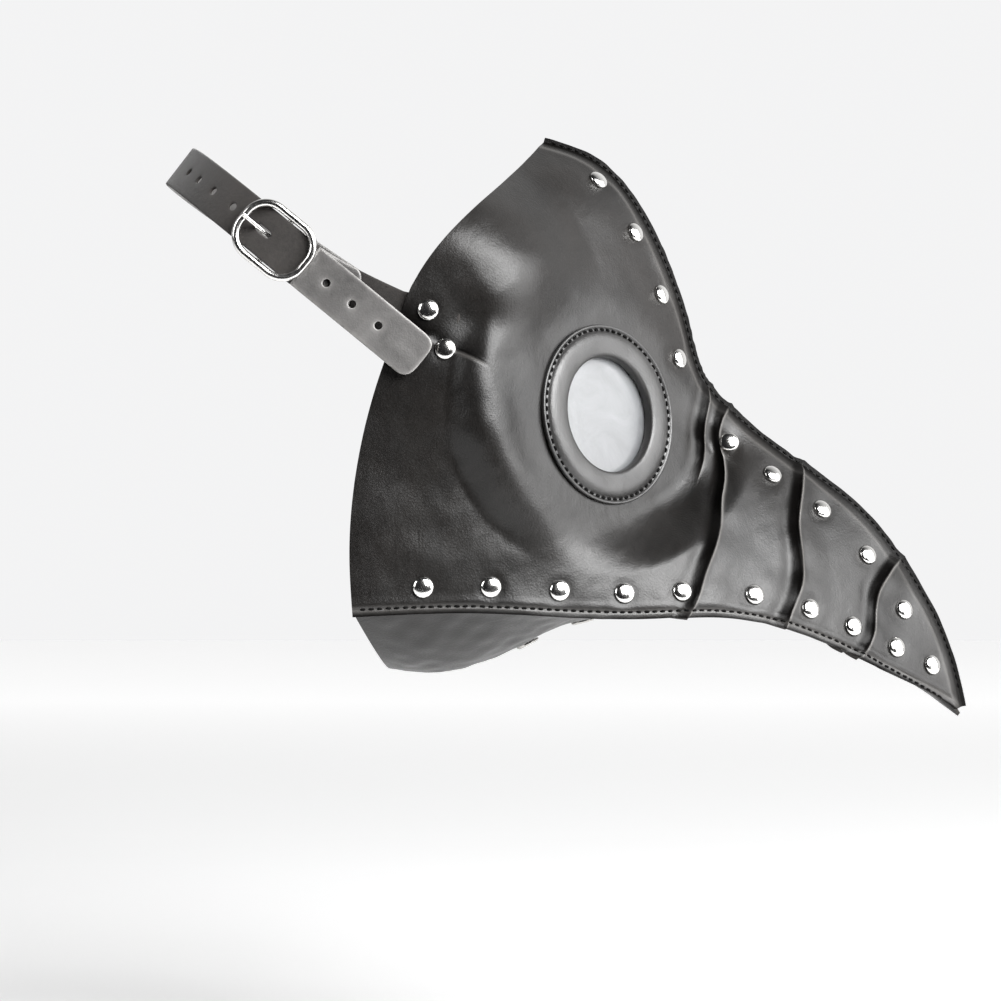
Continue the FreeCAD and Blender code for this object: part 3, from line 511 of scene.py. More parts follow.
def find(x, z):
    """The u and v of a place in the side view."""
    uu, vv = np.meshgrid(np.linspace(0, 1, 121), np.linspace(0, 1, 81), indexing="ij")
    place = net(uu, vv)
    i = np.argmin((place[..., 0] - x) ** 2 + (place[..., 1] - z) ** 2)
    u, v = uu.flat[i], vv.flat[i]
    step = 0.004
    for _ in range(12):
        here = net(u, v)
        du = (net(min(u + step, 1), v) - net(max(u - step, 0), v)) / (min(u + step, 1) - max(u - step, 0))
        dv = (net(u, min(v + step, 1)) - net(u, max(v - step, 0))) / (min(v + step, 1) - max(v - step, 0))
        det = du[0] * dv[1] - dv[0] * du[1]
        ex, ez = x - here[0], z - here[1]
        u = float(np.clip(u + (ex * dv[1] - dv[0] * ez) / det, 0, 1))
        v = float(np.clip(v + (du[0] * ez - ex * du[1]) / det, 0, 1))
    return u, v


def crest_shares(line):
    """A pleat's crest as u against v."""
    pairs = sorted((v, u) for u, v in (find(x, z) for x, z in spline(line, 25)))
    vs, us = np.array(pairs).T
    vs[0], vs[-1] = 0.0, 1.0
    even = np.linspace(0, 1, 60)
    return even, np.interp(even, vs, us)


CRESTS = [crest_shares(p["line"]) for p in PLEATS]


def spread(count, behind, ahead):
    """Shares from 0 to 1, closer together near an end that has a crest."""
    t = np.linspace(0, 1, count + 1)[:-1]
    gather = (0.82 if ahead else 0.0), (0.82 if behind else 0.0)
    density = lambda s: 1 + 5 * gather[0] * np.exp(-(1 - s) / 0.10) + 5 * gather[1] * np.exp(-s / 0.06)
    fine = np.linspace(0, 1, 2000)
    run = np.concatenate([[0], np.cumsum((density(fine[1:]) + density(fine[:-1])) / 2)])
    return np.interp(t * run[-1], run, fine)


FROM_EDGE = np.array([0, 0.5, 1.0, 1.5, 1.9, 2.2, 2.5, 2.8, 3.1, 3.5, 4.2, 5.2])
TO_RIDGE = np.array([6.5, 5.0, 3.9, 3.0, 2.3, 1.7, 1.2, 0.8, 0.45, 0.2, 0.0])
MIDDLE_ROWS = 142
SEAM_HEIGHT = 45.0            # where the panel is lower than this, its seams' rows are squeezed


def panel_grid():
    """u and v over a panel: columns follow the pleats' crests, rows keep their distance from the seams."""
    low_rows, high_rows = len(FROM_EDGE), len(FROM_EDGE) + MIDDLE_ROWS
    counts = [(205, False, True), (24, True, True), (56, True, True), (56, True, True), (46, True, False)]
    fractions = [spread(*c) for c in counts]
    columns = sum(len(f) for f in fractions) + 1
    v = np.tile(np.linspace(0, 1, high_rows + len(TO_RIDGE)), (columns, 1))
    u = np.zeros(v.shape)
    share = np.arange(1, MIDDLE_ROWS + 1) / (MIDDLE_ROWS + 1)
    for _ in range(4):
        anchors = [np.zeros(v.shape)] + [np.interp(v, vs, us) for vs, us in CRESTS] + [np.ones(v.shape)]
        at = 0
        for k, f in enumerate(fractions):
            a, b = anchors[k][at:at + len(f)], anchors[k + 1][at:at + len(f)]
            u[at:at + len(f)] = a + (b - a) * f[:, None]
            at += len(f)
        u[-1] = 1.0
        height = np.linalg.norm(ridge(u) - lower.at(u), axis=-1)
        squeeze = np.minimum(1.0, height / SEAM_HEIGHT)
        low, high = FROM_EDGE[-1] * squeeze / height, 1 - TO_RIDGE[0] * squeeze / height
        v = np.zeros(height.shape)
        v[:, :low_rows] = FROM_EDGE * squeeze[:, :low_rows] / height[:, :low_rows]
        v[:, high_rows:] = 1 - TO_RIDGE * squeeze[:, high_rows:] / height[:, high_rows:]
        rows = slice(low_rows, high_rows)
        v[:, rows] = low[:, rows] * (1 - share) + high[:, rows] * share
    return u, v, height


def normals_of(grid):
    """Outward normals of a grid of points of the right panel."""
    n = np.cross(np.gradient(grid, axis=0), np.gradient(grid, axis=1))
    return n / np.maximum(np.linalg.norm(n, axis=-1, keepdims=True), 1e-9)


def bell(gap, width):
    return np.exp(-(gap / width) ** 2)


SOFT_FOLDS = [([(47, 30), (41, 10), (37, -10), (38, -30), (41, -46)], 0.8, 8.0),
              ([(25, -12), (31, -22), (34, -34), (38, -49), (47, -72)], -1.0, 7.0)]


def relief(u, v, height, x, z, seed):
    """How far the leather stands off its plain face and its folds lean back, with painted shade in the folds'
    hollows and painted highlights on their crests.
    """
    rise, lean, edge, dark, highlight_mask = np.zeros((5,) + x.shape)
    for pleat, (vs, us) in zip(PLEATS, CRESTS):
        crest_u = np.interp(v, vs, us)
        crest = net(crest_u, v)
        t = np.sign(u - crest_u) * np.hypot(x - crest[..., 0], z - crest[..., 1])
        top = pleat["rise"] * (1 + 0.22 * waves(v * 60, v * 0, seed + 3, 17, 4))
        if pleat["stop"]:
            top = top * smooth((v - pleat["stop"] + PLEAT_FADE) / (2 * PLEAT_FADE))
        foot = np.clip((t + PLEAT_FOOT) / PLEAT_FOOT, 0, 1)
        behind = foot ** 1.9 - 0.28 * bell(t + PLEAT_FOOT + 1.0, 2.6)
        front = 0.62 * (1 - smooth(t / PLEAT_RUN)) + 0.38 * np.exp(-np.maximum(t, 0) / 0.8)
        fold = top * np.where(t <= 0, behind, front)
        rise += fold
        edge += fold
        lean += top * 0.42 * bell(t, 1.3)
        weight = np.clip(top / pleat["rise"], 0, 1)
        # Painted shade: a band behind each pleat's crest.
        broad = smooth((t + 6.2) / 2.6) * (1 - smooth((t + 0.55) / 0.5))
        dark = np.maximum(dark, 0.97 * weight * broad)
        # Painted highlight along each pleat's crest.
        highlight_mask = np.maximum(highlight_mask, weight * bell(t - 0.15, 0.42))
    dist, side, share = line_field(x, z, DART)
    hold = (1 - smooth((share - 0.72) / 0.28)) * smooth((share + 0.02) / 0.06)
    above = -2.0 * np.exp(-dist / 7.5)
    below = 1.1 * np.exp(-dist / 7.0) - 0.35 * np.exp(-dist / 0.7)
    blur = 0.5 + 0.5 * np.clip(side * dist / 0.35, -1, 1)
    rise += hold * (above * blur + below * (1 - blur))
    # Painted shade in the hollow above the dart.
    dark = np.maximum(dark, hold * blur * (0.95 * bell(dist, 1.5) + 0.45 * bell(dist, 9.0)))
    # Painted highlight along the lower flap's edge at the dart.
    highlight_mask = np.maximum(highlight_mask, 0.8 * hold * (1 - blur) * bell(dist - 0.75, 0.45))
    rise -= 2.4 * bell(x - 17, 15) * bell(z + 4, 10)
    rise += 1.1 * bell(x - 10, 16) * bell(z + 38, 18)
    for points, high, wide in SOFT_FOLDS:
        dist, side, share = line_field(x, z, points)
        rise += high * bell(dist, wide) * (1 - smooth((share - 0.7) / 0.3)) * smooth(share / 0.15)
    calm = smooth((np.hypot(x - EYE_X, z - EYE_Z) - 27) / 14)
    swell = 0.55 * waves(x, z, seed, 48) + 0.22 * waves(x, z, seed + 1, 19) + 0.05 * waves(x, z, seed + 2, 6)
    rise += calm * swell
    from_low, from_top = v * height, (1 - v) * height
    rise += 0.30 * bell(from_low - 4.6, 1.3) - 0.45 * bell(from_low - 2.6, 0.42)
    rise += 0.5 * bell(from_top - 2.6, 1.6)
    return rise, lean, edge, np.clip(dark, 0, 1), highlight_mask


GU, GV, GH = panel_grid()
PLAIN = skin(GU, GV)
PLAIN_N = normals_of(PLAIN)
SEAM_LIFT = 0.42              # how much of a fold's height the raw edge of the ridge follows
TOP_LINE = ridge_top.at(GU[:, -1])
TOP_IN = inward(ridge_top.along(GU[:, -1]))


def panel_surface(seed):
    """The right panel's worked outer face as a grid of points, and its normals."""
    x, z = PLAIN[..., 0], PLAIN[..., 2]
    rise, lean, edge, dark, highlight_mask = relief(GU, GV, GH, x, z, seed)
    for px, pz in RIVET_SPOTS:
        r = np.hypot(x - px, z - pz)
        rise = rise * (1 - 0.9 * bell(r, 6.5)) - 0.42 * np.exp(-(r / 5.2) ** 4)
    from_low, from_top = GV * GH, (1 - GV) * GH
    at_ridge, at_edge = smooth((5.0 - from_top) / 5.0), 1 - smooth(from_low / 6.0)
    along = np.gradient(PLAIN, axis=0)
    along /= np.linalg.norm(along, axis=-1, keepdims=True)
    into = inward(ridge_top.along(GU))
    out = np.stack([-into[..., 0], np.zeros(x.shape), -into[..., 1]], axis=-1)
    move = PLAIN_N * (rise * (1 - at_ridge))[..., None] + out * (SEAM_LIFT * edge * at_ridge)[..., None]
    move[..., 2] -= 0.14 * edge * at_edge
    move -= along * (lean * (1 - at_ridge) * (1 - 0.75 * at_edge))[..., None]
    points = PLAIN + move
    points[..., 1] = np.minimum(points[..., 1], -LEAF * 0.8)
    # Painted shade along the lower edge, where it meets the gusset, and along the ridge seam.
    dark = np.maximum(dark * (1 - 0.6 * at_edge), 0.9 * (1 - smooth(from_low / 1.3)))
    dark = np.maximum(dark, 0.85 * bell(from_top, 1.2))
    # Painted highlights: a band beside the lower stitches and one below the ridge seam.
    highlight_mask = np.maximum(highlight_mask, 0.40 * bell(from_low - 2.4, 1.0))
    highlight_mask = np.maximum(highlight_mask, 0.35 * bell(from_top - 3.0, 0.55))
    return points, normals_of(points), out, edge, dark, highlight_mask


def spots_on(outline, shares, inset):
    shares = np.array(shares)
    return outline.at(shares) + inward(outline.along(shares)) * inset


FOREHEAD = spots_on(ridge_top, FOREHEAD_RIVETS, 8.0)
BEAK = spots_on(ridge_top, BEAK_RIVETS, 11.8)
LOW_ROW = spots_on(lower, LOWER_RIVETS, -10.0)
DART_SPOT = np.array([[0.030 * BEAK_REACH, -0.0624 * MASK_HEIGHT]])
TEMPLE_SPOT = np.array([[0.0, 0.0]])
RIVET_SPOTS = np.concatenate([FOREHEAD, BEAK, LOW_ROW, DART_SPOT, TEMPLE_SPOT])


def seat_on(points, normals, x, z):
    """The worked surface's point and normal at a place in the side view."""
    near = np.hypot(points[..., 0] - x, points[..., 2] - z)
    order = np.argsort(near, axis=None)[:40]
    weight = np.exp(-(near.flat[order] / 1.2) ** 2)[:, None]
    place = (points.reshape(-1, 3)[order] * weight).sum(0) / weight.sum()
    normal = (normals.reshape(-1, 3)[order] * weight).sum(0)
    return place, normal / np.linalg.norm(normal)


# ---------------------------------------------------------------- panel meshes
EYE_POINT = np.array([EYE_X, -EYE_HALF, EYE_Z])
EYE_AXIS = np.array([EYE_SLOPE, -1.0, EYE_LEAN])
EYE_AXIS /= np.linalg.norm(EYE_AXIS)
FLANGE = ((0.25, 1.16), (0.8, 1.22), (1.0, 1.0), (1.0, 0.4), (0.93, 0.06))     # shares of the seam, and level


def build_panel(side, seed):
    """One panel: worked outer face, raw edges, flesh side, with the raw edge of the seam standing up."""
    outer, normal, out, edge, dark, highlight_mask = panel_surface(seed)
    nu, nv = outer.shape[:2]
    rows = np.unique(np.concatenate([np.arange(0, nv, 4), [nv - 1]]))
    under = normals_of(outer)
    for _ in range(3):
        under[1:-1] = (under[:-2] + under[1:-1] + under[2:]) / 3
    inner = outer - under * LEATHER
    inner[..., 1] = np.minimum(inner[..., 1], -0.06)
    inner = inner[:, rows]
    fray = 0.16 * waves(np.arange(nu) * 0.7, np.zeros(nu), seed + 9, 9, 5)
    lift = SEAM_LIFT * edge[:, -1]
    rise = out[:, -1] * (SEAM + fray + lift)[:, None]
    top = TOP_LINE + TOP_IN * SEAM
    foot = np.stack([top[:, 0], np.zeros(nu), top[:, 1]], axis=-1)
    ridge_rows = []
    for share, level in FLANGE:
        row = foot + out[:, -1] * (lift * (1 - share))[:, None] + rise * share
        row[:, 1] = -level
        ridge_rows.append(row)
    grid = np.concatenate([outer, np.stack(ridge_rows, axis=1), inner[:, ::-1]], axis=1)
    total, flange_end = grid.shape[1], nv + len(FLANGE)
    # Painted shade and painted highlights for each point of the panel.
    shades = np.zeros((2, nu, total))
    shades[0, :, :nv], shades[1, :, :nv] = dark, highlight_mask
    # The seam's standing edge is all painted shade.
    shades[0, :, nv:flange_end] = 0.9
    index = np.arange(nu * total).reshape(nu, total)
    faces = strip(np.concatenate([index, index[:, :1]], axis=1))
    band = np.tile(np.arange(total), nu - 1)
    kind = np.zeros(len(faces), int)
    kind[band >= nv + 2] = 1
    kind[band >= flange_end] = 2
    kind[band == total - 1] = 1
    gap = grid.reshape(-1, 3)[faces].mean(axis=1) - EYE_POINT
    off = gap - np.outer(gap @ EYE_AXIS, EYE_AXIS)
    kept = np.linalg.norm(off, axis=1) > EYE_SCALLOP
    face_list, kinds = [tuple(f) for f in faces[kept].tolist()], kind[kept].tolist()
    for end in (0, nu - 1):
        cap = bridge(index[end, :nv + 3], index[end, nv + 4:][::-1])
        face_list += flipped(cap) if end else cap
        kinds += [1] * len(cap)
    points = grid.reshape(-1, 3)
    if side > 0:
        points = mirror(points)
    else:
        face_list = flipped(face_list)
    return points, face_list, kinds, outer, normal, shades.reshape(2, -1)


SURFACES = {}
for word, side, seed in (("right", -1, 11), ("left", 1, 31)):
    points, faces, kinds, outer, normal, shades = build_panel(side, seed)
    SURFACES[word] = (outer, normal, side)
    piece = mesh_piece("panel_leather_" + word, points, faces, PANEL_MATS, "mask", ["side_panel_" + word],
                       kinds, sharp=70)
    # Painted shade and painted highlights, for the leather material to read.
    shade_points(piece, "painted_shade", shades[0])
    shade_points(piece, "painted_highlight", shades[1])


def place_on(word, x, z):
    """A seat on one side's worked panel."""
    outer, normal, side = SURFACES[word]
    point, axis = seat_on(outer, normal, x, z)
    return (mirror(point), mirror(axis)) if side > 0 else (point, axis)


# ---------------------------------------------------------------- rivets
def dome(r, height):
    """A polished head: a rolled rim under a smooth cap, as (radius, height)."""
    rim = [(0, 0.0), (r - 0.35, 0.0), (r - 0.08, 0.08), (r, 0.28), (r - 0.03, 0.46)]
    cap = [(r * math.cos(a), 0.46 + (height - 0.46) * math.sin(a) ** 0.96)
           for a in np.linspace(0.10, math.pi / 2, 15)[:-1]]
    return rim + cap + [(0, height)]


def rivets(name, word, places, node):
    made = []
    for x, z in places:
        point, axis = place_on(word, x, z)
        made.append(lathe(dome(4.0, 2.2), point + axis * 0.05, axis, 48))
    points, faces = merge(made)
    mesh_piece(name + "_" + word, points, faces, [NICKEL], "mask", [node + "_" + word],
               sharp=60)


for word in ("right", "left"):
    rivets("forehead_heads", word, FOREHEAD, "forehead_rivets")
    rivets("beak_heads", word, BEAK, "beak_rivets")
    rivets("lower_heads", word, LOW_ROW, "lower_rivets")
    rivets("dart_head", word, DART_SPOT, "dart_rivet")
    rivets("temple_head", word, TEMPLE_SPOT, "temple_rivet")


# ---------------------------------------------------------------- gusset under the beak
GUSSET_END, GUSSET_CLEAR = 0.995, 0.25


def gusset_edge(u, lift):
    height = np.linalg.norm(ridge(u) - lower.at(u), axis=-1)
    v = np.maximum((SEAM + lift) / height, 0.0)
    step = 0.004
    p = skin(u, v)
    across = skin(np.minimum(u + step, 1), v) - skin(np.maximum(u - step, 0), v)
    upward = skin(u, v + step) - skin(u, v)
    n = np.cross(across, upward)
    n /= np.linalg.norm(n, axis=-1, keepdims=True)
    return p - n * (LEATHER + GUSSET_CLEAR)


def gusset_points(share, across, lift):
    u = share * GUSSET_END
    edge = gusset_edge(u, lift)
    middle = chin.at(u) - inward(chin.along(u)) * lift
    bend = across * across
    x = middle[..., 0] * (1 - bend) + edge[..., 0] * bend
    z = middle[..., 1] * (1 - bend) + edge[..., 2] * bend
    return np.stack([x, -edge[..., 1] * across, z], axis=-1)


def build_gusset():
    """The gusset: worked outer face, flesh side, and two lips that run up inside the side panels."""
    shares, acrosses = np.linspace(0, 1, 260), np.linspace(-1, 1, 91)
    s, a = np.meshgrid(shares, acrosses, indexing="ij")
    outer = gusset_points(s, a, 0.0)
    thick = outer - gusset_points(s, a, LEATHER)
    thick /= np.linalg.norm(thick, axis=-1, keepdims=True)
    calm = smooth((1 - np.abs(a)) / 0.12) * smooth(s / 0.03) * smooth((1 - s) / 0.1)
    x, y = outer[..., 0], outer[..., 1]
    crease = 0.55 * waves(x, y * 0.5, 71, 26) + 0.25 * waves(x, y, 72, 11)
    for share in VENT_SHARES:
        r = np.hypot((s - share) * chin.length * GUSSET_END, y)
        calm = calm * (1 - 0.9 * np.exp(-(r / 9) ** 4))
    outer = outer + thick * (crease * calm)[..., None]
    inner = outer - thick * (LEATHER * 0.9)
    near, far = (gusset_edge(shares * GUSSET_END, np.full(len(shares), lift)) for lift in LIP_LIFTS)
    right_lip = np.stack([far, near], axis=1)
    left_lip = mirror(right_lip)[:, ::-1]
    push = np.array([0, LIP_THICK, 0])
    face = np.concatenate([right_lip + push, outer, left_lip - push], axis=1)
    back = np.concatenate([right_lip, inner, left_lip], axis=1)
    grid = np.concatenate([face, back[:, ::-1]], axis=1)
    nu, total = grid.shape[:2]
    index = np.arange(nu * total).reshape(nu, total)
    faces = [tuple(f) for f in strip(np.concatenate([index, index[:, :1]], axis=1)).tolist()]
    n = face.shape[1]
    kinds = ([0] * (n - 1) + [1] + [2] * (n - 1) + [1]) * (nu - 1)
    for end in (0, nu - 1):
        cap = bridge(index[end, :n], index[end, n:][::-1])
        faces += flipped(cap) if end else cap
        kinds += [1] * len(cap)
    return grid.reshape(-1, 3), flipped(faces), kinds


LIP_LIFTS, LIP_THICK = (-0.7, -1.9), 0.9
VENT_SHARES = [(57.0 + i * 24.0) / chin.length / GUSSET_END for i in range(3)]
points, faces, kinds = build_gusset()
mesh_piece("gusset_leather", points, faces, PANEL_MATS, "mask", ["beak_gusset"], kinds,
           sharp=70)


# ---------------------------------------------------------------- thread
def stitch(a, b, normal, r=0.30, sink=0.12):
    """One stitch from a to b, lying on the leather with both ends going down into it."""
    a, b, normal = np.asarray(a), np.asarray(b), np.asarray(normal)
    d = b - a
    side = np.cross(normal, d)
    side /= np.linalg.norm(side)
    points, count = [], 8
    places = [(-0.06, -1.6, 0.8), (0.02, -0.3, 1.0), (0.2, 0.45, 1.05), (0.5, 0.72, 1.1), (0.8, 0.45, 1.05),
              (0.98, -0.3, 1.0), (1.06, -1.6, 0.8)]
    for t, h, wide in places:
        middle = a + d * t + normal * (h * r - sink * 0.3)
        for k in range(count):
            turn = 2 * math.pi * k / count
            points.append(middle + side * (r * wide * math.cos(turn)) + normal * (r * wide * math.sin(turn)))
    index = np.arange(len(points)).reshape(len(places), count)
    faces = strip(np.concatenate([index, index[:, :1]], axis=1)).tolist()
    return np.array(points), faces


def stitches_along(points, normals, pitch, length, seed, r=0.30):
    """Stitches at a pitch along a line of points with its normals."""
    run = np.concatenate([[0], np.cumsum(np.linalg.norm(np.diff(points, axis=0), axis=1))])
    rng = np.random.default_rng(seed)
    made = []
    count = int(run[-1] / pitch)
    for i in range(count):
        start = (i + 0.5) * run[-1] / count - length / 2 + rng.uniform(-0.12, 0.12)
        a, b, n = ([np.interp(s, run, values[:, c]) for c in range(3)]
                   for s, values in ((start, points), (start + length, points), (start + length / 2, normals)))
        n = np.array(n) / np.linalg.norm(n)
        tilt = np.cross(n, np.array(b) - np.array(a))
        tilt = tilt / np.linalg.norm(tilt) * rng.uniform(-0.12, 0.12)
        made.append(stitch(np.array(a) - tilt, np.array(b) + tilt, n, r))
    return merge(made)


def row_at(outer, normal, height, from_low):
    """The worked surface's line at a distance above the lower edge."""
    line, square = [], []
    for i in range(outer.shape[0]):
        want = from_low * min(1.0, height[i, 0] / SEAM_HEIGHT) / height[i, 0]
        line.append([np.interp(want, GV[i], outer[i, :, c]) for c in range(3)])
        square.append([np.interp(want, GV[i], normal[i, :, c]) for c in range(3)])
    return np.array(line), np.array(square)


for word in ("right", "left"):
    outer, normal, side = SURFACES[word]
    line, square = row_at(outer, normal, GH, 2.6)
    points, faces = stitches_along(line[3:-6], square[3:-6], 3.2, 2.0, 5, 0.40)
    ridge_line = TOP_LINE + TOP_IN * (SEAM * 0.62)
    flange_line = np.stack([ridge_line[:, 0], np.full(len(ridge_line), -1.2), ridge_line[:, 1]], axis=-1)
    flat = np.tile([0.0, -1.0, 0.0], (len(flange_line), 1))
    more = stitches_along(flange_line[3:-4], flat[3:-4], 3.2, 2.0, 6, 0.26)
    points, faces = merge([(points, faces), more])
    if side > 0:
        points, faces = mirror(points), flipped(faces)
    mesh_piece("seam_thread_" + word, points, faces, [THREAD], "mask", sharp=80)


# ---------------------------------------------------------------- eyes
RING_PROFILE = [(23.0, -1.9), (22.5, -1.2), (22.45, 0.6), (22.6, 1.7), (23.1, 2.35), (24.2, 2.72), (26.0, 2.92),
                (28.0, 2.95), (29.6, 2.82), (31.0, 2.42), (32.0, 1.75), (32.5, 1.2), (33.05, 0.98), (33.6, 1.2),
                (34.0, 1.62), (34.45, 1.8), (34.9, 1.55), (35.05, 1.0), (35.0, 0.35), (34.6, -0.1), (30.0, -0.1),
                (24.5, -0.1), (23.6, -1.0)]


RING_PROFILE_POINTS = 74


def ring_wobble(seed):
    """Small puckers beside the stitches and slow unevenness of the padding, calm where the turn closes."""
    def shift(turn, r, h):
        near = bell(r - 32.0, 1.4) if h > 0.5 else 0.0
        roll = bell(r - 27.0, 3.0) if h > 1.5 else 0.0
        pucker = 0.13 * near * np.cos(turn * 70)
        slow = 0.16 * roll * waves(turn * 33, turn * 0, seed, 24, 5)
        slow = slow + 0.06 * near * waves(turn * 33, turn * 0, seed + 1, 5, 5)
        away = 3.0 * (1 - np.exp(-((turn - math.pi) ** 2) * 9))
        return 0.0, (pucker + slow) * np.minimum(1.0, away + 0.5 + 0.5 * np.cos(turn))
    return shift


LENS_PROFILE = [(0, -4.1), (25.6, -4.1), (25.95, -3.9), (26.0, -3.2), (25.9, -2.35), (25.5, -2.2), (23.5, -2.12),
                (19.0, -1.85), (14.0, -1.62), (9.0, -1.48), (4.0, -1.42), (0, -1.4)]
BACK_PROFILE = [(23.0, -5.95), (23.3, -5.98), (28.0, -6.0), (32.4, -5.95), (33.0, -5.5), (33.05, -3.0),
                (32.8, -2.2), (32.2, -2.15), (26.4, -2.15), (26.3, -4.25), (23.2, -4.3), (22.9, -4.6), (22.85, -5.6)]
RING_STITCHES = 33.05, 1.12   # the stitches' radius and height

for word, side in (("right", -1), ("left", 1)):
    point, axis = (EYE_POINT, EYE_AXIS) if side < 0 else (mirror(EYE_POINT), mirror(EYE_AXIS))
    points, faces = lathe(spline(RING_PROFILE, RING_PROFILE_POINTS), point, axis, 180, ring_wobble(40 + side))
    roll = mesh_piece("eye_roll_" + word, points, faces, [RING_MAT], "mask", ["eye_ring_" + word],
                      sharp=75)
    _, a_dir, b_dir = frame_of(axis)
    turn = np.linspace(0, 2 * math.pi, 500)
    around = np.outer(np.cos(turn), a_dir) + np.outer(np.sin(turn), b_dir)
    line = point + RING_STITCHES[0] * around + axis * RING_STITCHES[1]
    points, faces = stitches_along(line, np.tile(axis, (500, 1)), 3.1, 2.0, 7, 0.42)
    mesh_piece("ring_thread_" + word, points, faces, [THREAD], "mask", sharp=80)
    points, faces = lathe(LENS_PROFILE, point, axis, 96)
    mesh_piece("lens_disc_" + word, points, faces, [LENS_MAT], "mask", ["lens_" + word], sharp=40)
    points, faces = lathe(BACK_PROFILE, point, axis, 120)
    mesh_piece("lens_leather_" + word, points, faces, [FLESH_MAT], "mask", ["lens_retainer_" + word],
               sharp=50)


# ---------------------------------------------------------------- head strap
STRAP_W, STRAP_T = 18.0, 1.8
STRAP_OUT = HEAD_WIDTH / 2 - LEATHER - 0.3
STRAP_MID = STRAP_OUT - STRAP_T / 2
BAR_LEVEL = STRAP_OUT + 1.26
FOLD_OUT = STRAP_OUT + 0.05 + STRAP_T
TAIL_IN = FOLD_OUT + 0.15
TAIL_MID = TAIL_IN + STRAP_T / 2
REAR_REACH, REAR_RISE, STRAIGHT_REACH, BUCKLE_REACH = 99.8, 60.7, 61.0, 57.5
TAIL_PITCH, PLAIN_PITCH = 39.4, 34.0
PITCH = math.radians(TAIL_PITCH)
FORWARD = np.array([math.cos(PITCH), 0.0, -math.sin(PITCH)])
UPWARD = np.array([math.sin(PITCH), 0.0, math.cos(PITCH)])
BAR = np.array([-BUCKLE_REACH, -BAR_LEVEL, REAR_RISE - (REAR_REACH - BUCKLE_REACH) * math.tan(PITCH)])
RAIL_REACH, BUMP_REACH, BAR_RISE = 14.5, 12.5, 2.52
TAIL_START = 17.2
TAIL_LENGTH = (BUCKLE_REACH - 2.2) / math.cos(PITCH)
SPLIT = 14.6                  # the tail's own piece starts here, under the buckle's front rail


def over_bar(d):
    return np.where(np.abs(d) >= BUMP_REACH, 0.0, BAR_RISE * np.cos(np.pi * d / (2 * BUMP_REACH)) ** 2)


def near_buckle(d, level):
    d = np.asarray(d, float)
    point = BAR + FORWARD * d[..., None]
    point[..., 1] = -level
    return point


def rings_inside(outline, depths):
    """The outline and copies of it moved inwards, one for each depth."""
    outline = np.asarray(outline, float)
    before, after = np.roll(outline, 1, axis=0), np.roll(outline, -1, axis=0)
    d = after - before
    d /= np.maximum(np.linalg.norm(d, axis=1, keepdims=True), 1e-9)
    into = np.stack([-d[:, 1], d[:, 0]], axis=1)
    return [outline + into * depth for depth in depths]


def circle(centre, r, count=22):
    turn = np.linspace(0, 2 * math.pi, count, endpoint=False)
    return np.stack([centre[0] + r * np.cos(turn), centre[1] + r * np.sin(turn)], axis=1)


def slot_line(a, b, r, count=10):
    """A round-ended slot along the strap, from a to b."""
    right = np.linspace(-math.pi / 2, math.pi / 2, count)
    left = right + math.pi
    ends = [np.stack([b - r + r * np.cos(right), r * np.sin(right)], axis=1),
            np.stack([a + r + r * np.cos(left), r * np.sin(left)], axis=1)]
    return np.concatenate(ends)


def inside(points, polygon):
    """Which points are inside a polygon."""
    x, y = points[:, 0], points[:, 1]
    result = np.zeros(len(points), bool)
    j = len(polygon) - 1
    for i in range(len(polygon)):
        (xi, yi), (xj, yj) = polygon[i], polygon[j]
        crossing = ((yi > y) != (yj > y)) & (x < (xj - xi) * (y - yi) / (yj - yi + 1e-12) + xi)
        result ^= crossing
        j = i
    return result


HOLE_PITCH = 12.7
EDGE_DEPTHS = [0.0, 0.08, 0.25, 0.55, 1.0, 1.5, 1.9]
HOLE_GROWTH = [0.0, -0.10, -0.30, -0.65]


def edge_height(distance, r=0.6):
    """How far a strap's face lies under its full height near a cut edge."""
    near = np.clip(1 - distance / r, 0, 1)
    return r * (1 - np.sqrt(np.clip(1 - near ** 2, 0, 1)))


